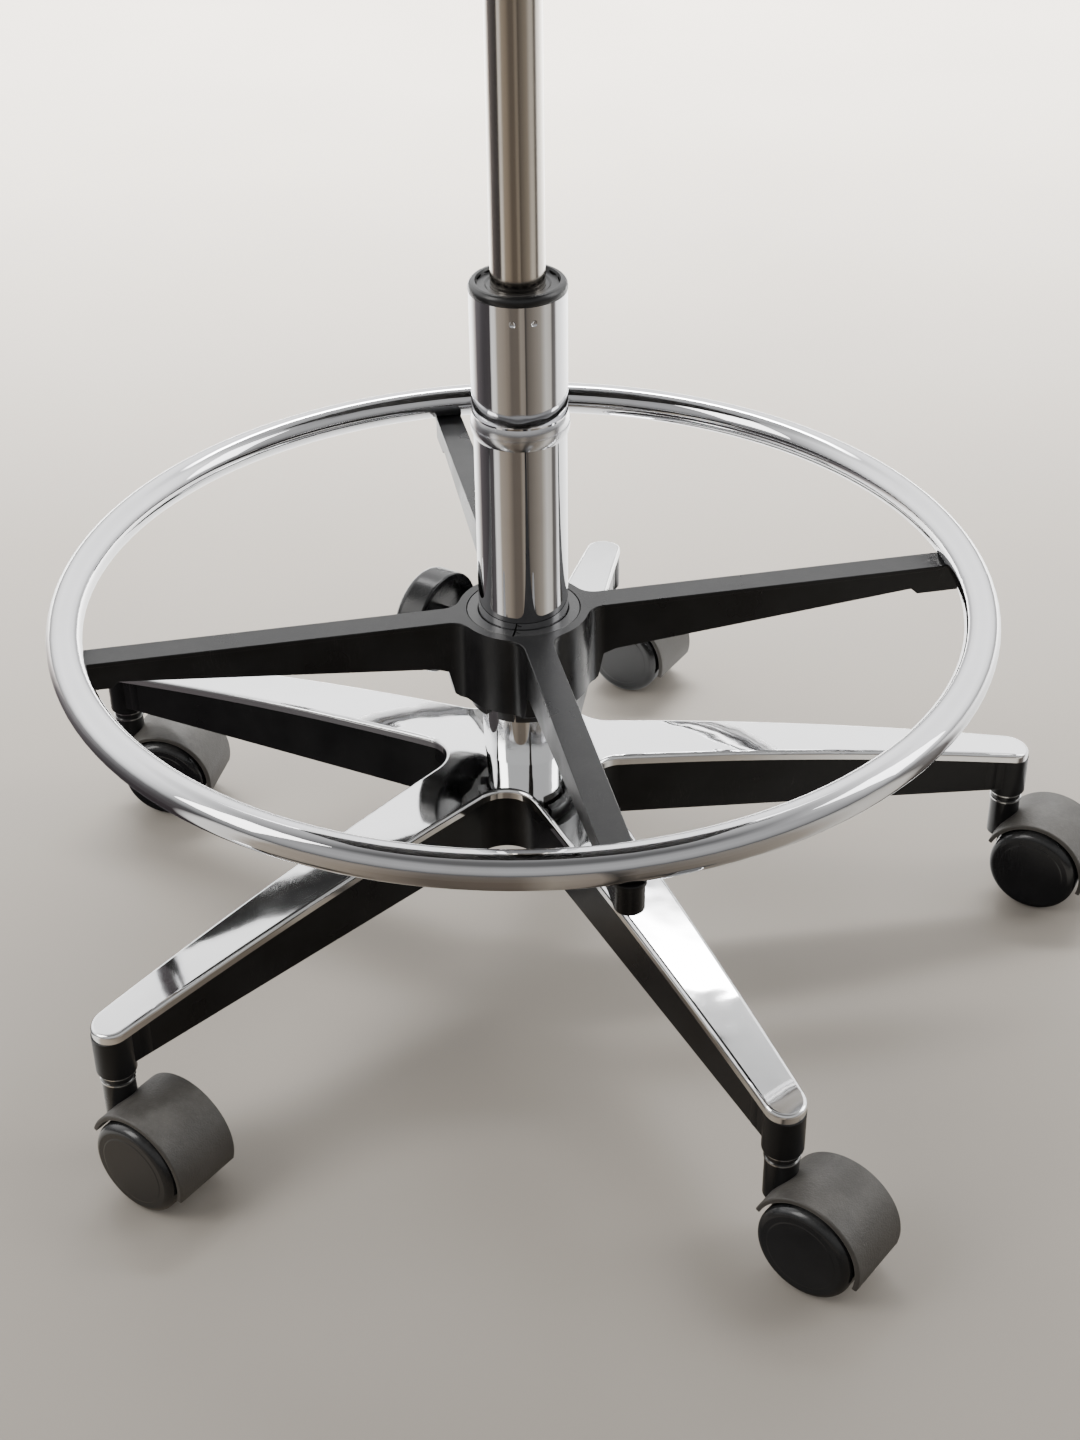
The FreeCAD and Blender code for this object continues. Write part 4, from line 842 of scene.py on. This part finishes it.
# %% [markdown]
# ## Camera
# The camera is in front of the chair, about as high as its seat, and looks down at the base. Three
# Euler angles would do, but it is easier to say what a person aiming it does: look down, turn a
# little, and roll a little. A quaternion joins them.

# %% Camera
CAMERA_AT = Vector((0.0, -1.0497, 0.8416))
CAMERA_DOWN = math.radians(33.67)
CAMERA_TURN = math.radians(-0.447)
CAMERA_ROLL = -0.01337
CAMERA_LENS = 55.97

camera_data = bpy.data.cameras.new("viewpoint")
camera_data.lens = CAMERA_LENS
camera = linked("viewpoint", camera_data)
ahead = Vector((-math.sin(CAMERA_TURN) * math.cos(CAMERA_DOWN),
                math.cos(CAMERA_TURN) * math.cos(CAMERA_DOWN), -math.sin(CAMERA_DOWN)))
camera.rotation_mode = "QUATERNION"
camera.rotation_quaternion = ahead.to_track_quat("-Z", "Y") @ Quaternion((0, 0, 1), CAMERA_ROLL)
camera.location = CAMERA_AT
bpy.context.scene.camera = camera
print("camera", [round(value, 3) for value in CAMERA_AT], "lens", CAMERA_LENS)

# %% [markdown]
# ## Floor
# Chrome shows the floor more than the lights, because its sides throw the view down and out. A
# studio hangs dark and light cards round a bright part to give it contrast. Here the cards are
# painted reflections: dark and light tones on the floor that only glossy rays see, in a ramp round
# the column by compass angle. The floor itself stays plain and pale.

# %% Painted reflections round the column, by angle
PAINTED_REFLECTIONS = (              # turn from 0 to 1, which both point along -X
    (0.0, (0.012, 0.008, 0.010)), (0.055, (0.016, 0.010, 0.012)), (0.068, (0.85, 0.83, 0.8)),
    (0.093, (0.8, 0.77, 0.72)), (0.108, (0.36, 0.31, 0.25)), (0.16, (0.28, 0.235, 0.185)),
    (0.2, (0.12, 0.098, 0.078)), (0.245, (0.13, 0.105, 0.082)), (0.262, (0.3, 0.26, 0.21)),
    (0.285, (0.26, 0.22, 0.18)), (0.292, (0.03, 0.026, 0.022)), (0.305, (0.13, 0.11, 0.09)),
    (0.39, (0.3, 0.265, 0.22)), (0.43, (0.62, 0.59, 0.54)), (0.465, (0.5, 0.47, 0.42)),
    (0.48, (0.05, 0.043, 0.036)), (0.505, (0.06, 0.05, 0.045)), (0.525, (0.85, 0.84, 0.82)),
    (0.76, (0.9, 0.89, 0.87)), (0.86, (0.85, 0.84, 0.82)), (0.905, (0.3, 0.27, 0.25)),
    (0.93, (0.03, 0.022, 0.024)), (1.0, (0.012, 0.008, 0.010)))


# %% Floor
PALE_GREY, PALER_GREY = (0.36, 0.325, 0.285, 1), (0.41, 0.375, 0.33, 1)


def pale_floor():
    f = Finish("pale_floor", Specular_IOR_Level=0.12)
    t = f.tree
    soft = noise(t, f.where, 3.0, 3.0, 0.5)
    pale = blend_colours(t, soft, PALE_GREY, PALER_GREY)
    spot = split(t, f.where)
    angle = calc(t, "ARCTAN2", spot["Y"], spot["X"])
    turn = calc(t, "ADD", calc(t, "DIVIDE", angle, 2 * math.pi), 0.5)
    # Painted reflections: a ramp of dark and light tones that only glossy rays see.
    painted_reflection_ramp = add(t, "ShaderNodeValToRGB")
    feed(t, painted_reflection_ramp.inputs["Fac"], turn)
    ramp_stops(painted_reflection_ramp.color_ramp.elements, PAINTED_REFLECTIONS)
    rays = add(t, "ShaderNodeLightPath")
    seen_in_chrome = rays.outputs["Is Glossy Ray"]
    f.set("Base Color", blend_colours(t, seen_in_chrome, pale, painted_reflection_ramp.outputs["Color"]))
    f.set("Roughness", remap(t, soft, 0.3, 0.7, 0.34, 0.44))
    return f.material


FLOOR_RADIUS, FLOOR_SIDES = 12.0, 96
floor_mesh = bpy.data.meshes.new("studio_floor")
shape = bmesh.new()
bmesh.ops.create_circle(shape, cap_ends=True, segments=FLOOR_SIDES, radius=FLOOR_RADIUS)
shape.to_mesh(floor_mesh)
shape.free()
floor_mesh.materials.append(pale_floor())
floor = linked("studio_floor", floor_mesh)
print("floor radius", FLOOR_RADIUS)

# %% [markdown]
# ## Soft boxes
# A soft box is a large flat lamp, and the larger it is, the softer its shadows. A weak one on each
# side shapes the dark parts. A strong one with a narrow beam, well behind the chair, lights only
# the floor there, which fades up to white behind the column.


# %% Soft boxes
CHAIR_BASE = (0, 0, 0.3)
WASH_SPREAD = math.radians(70)


def soft_box(name, place_at, aim_at, width, height, power, colour=(1, 1, 1)):
    """A rectangular lamp that faces a point."""
    data = bpy.data.lights.new(name, "AREA")
    data.shape = "RECTANGLE"
    data.size, data.size_y, data.energy, data.color = width, height, power, colour
    made = linked(name, data)
    made.location = place_at
    made.rotation_mode = "QUATERNION"
    made.rotation_quaternion = (Vector(aim_at) - Vector(place_at)).to_track_quat("-Z", "Y")
    return made


soft_box("key_left", (-1.9, -0.7, 1.7), CHAIR_BASE, width=0.9, height=1.5, power=26.0,
         colour=(1.0, 0.985, 0.96))
soft_box("fill_right", (2.1, 0.1, 1.5), CHAIR_BASE, width=0.8, height=1.5, power=18.0)
back_wash = soft_box("back_wash", (0.1, 2.2, 2.6), (0.1, 1.9, 0), width=3.6, height=1.2,
                     power=260.0)
back_wash.data.spread = WASH_SPREAD

# %% [markdown]
# ## Room
# Mirror metal shows the room more than it shows itself. The world is brightest half way up and at
# the back, like a room with tall windows behind the chair. It is darker at the horizon and straight
# overhead, so polished tops and the ring have dark tones beside the bright ones.


# %% Room
ROOM_FRONT, ROOM_BACK = 0.6, 2.7     # strength of the light in front and behind
ROOM_GREYS = ((0.0, 0.25), (0.2, 0.8), (0.42, 1.0), (0.68, 0.9), (0.85, 0.3), (1.0, 0.3))


def room():
    """The world: a grey by height, times a strength by direction."""
    world = bpy.data.worlds.new("studio")
    world.use_nodes = True
    bpy.context.scene.world = world
    t = world.node_tree
    direction = split(t, add(t, "ShaderNodeTexCoord").outputs["Generated"])
    up = add(t, "ShaderNodeValToRGB")
    feed(t, up.inputs["Fac"], calc(t, "MAXIMUM", direction["Z"], 0.0))
    ramp_stops(up.color_ramp.elements, [(height, (grey,) * 3) for height, grey in ROOM_GREYS])
    back = remap(t, direction["Y"], -0.35, 0.45, ROOM_FRONT, ROOM_BACK)
    background = t.nodes["Background"]
    feed(t, background.inputs["Color"], up.outputs["Color"])
    feed(t, background.inputs["Strength"], back)


room()
print("world", bpy.context.scene.world.name)
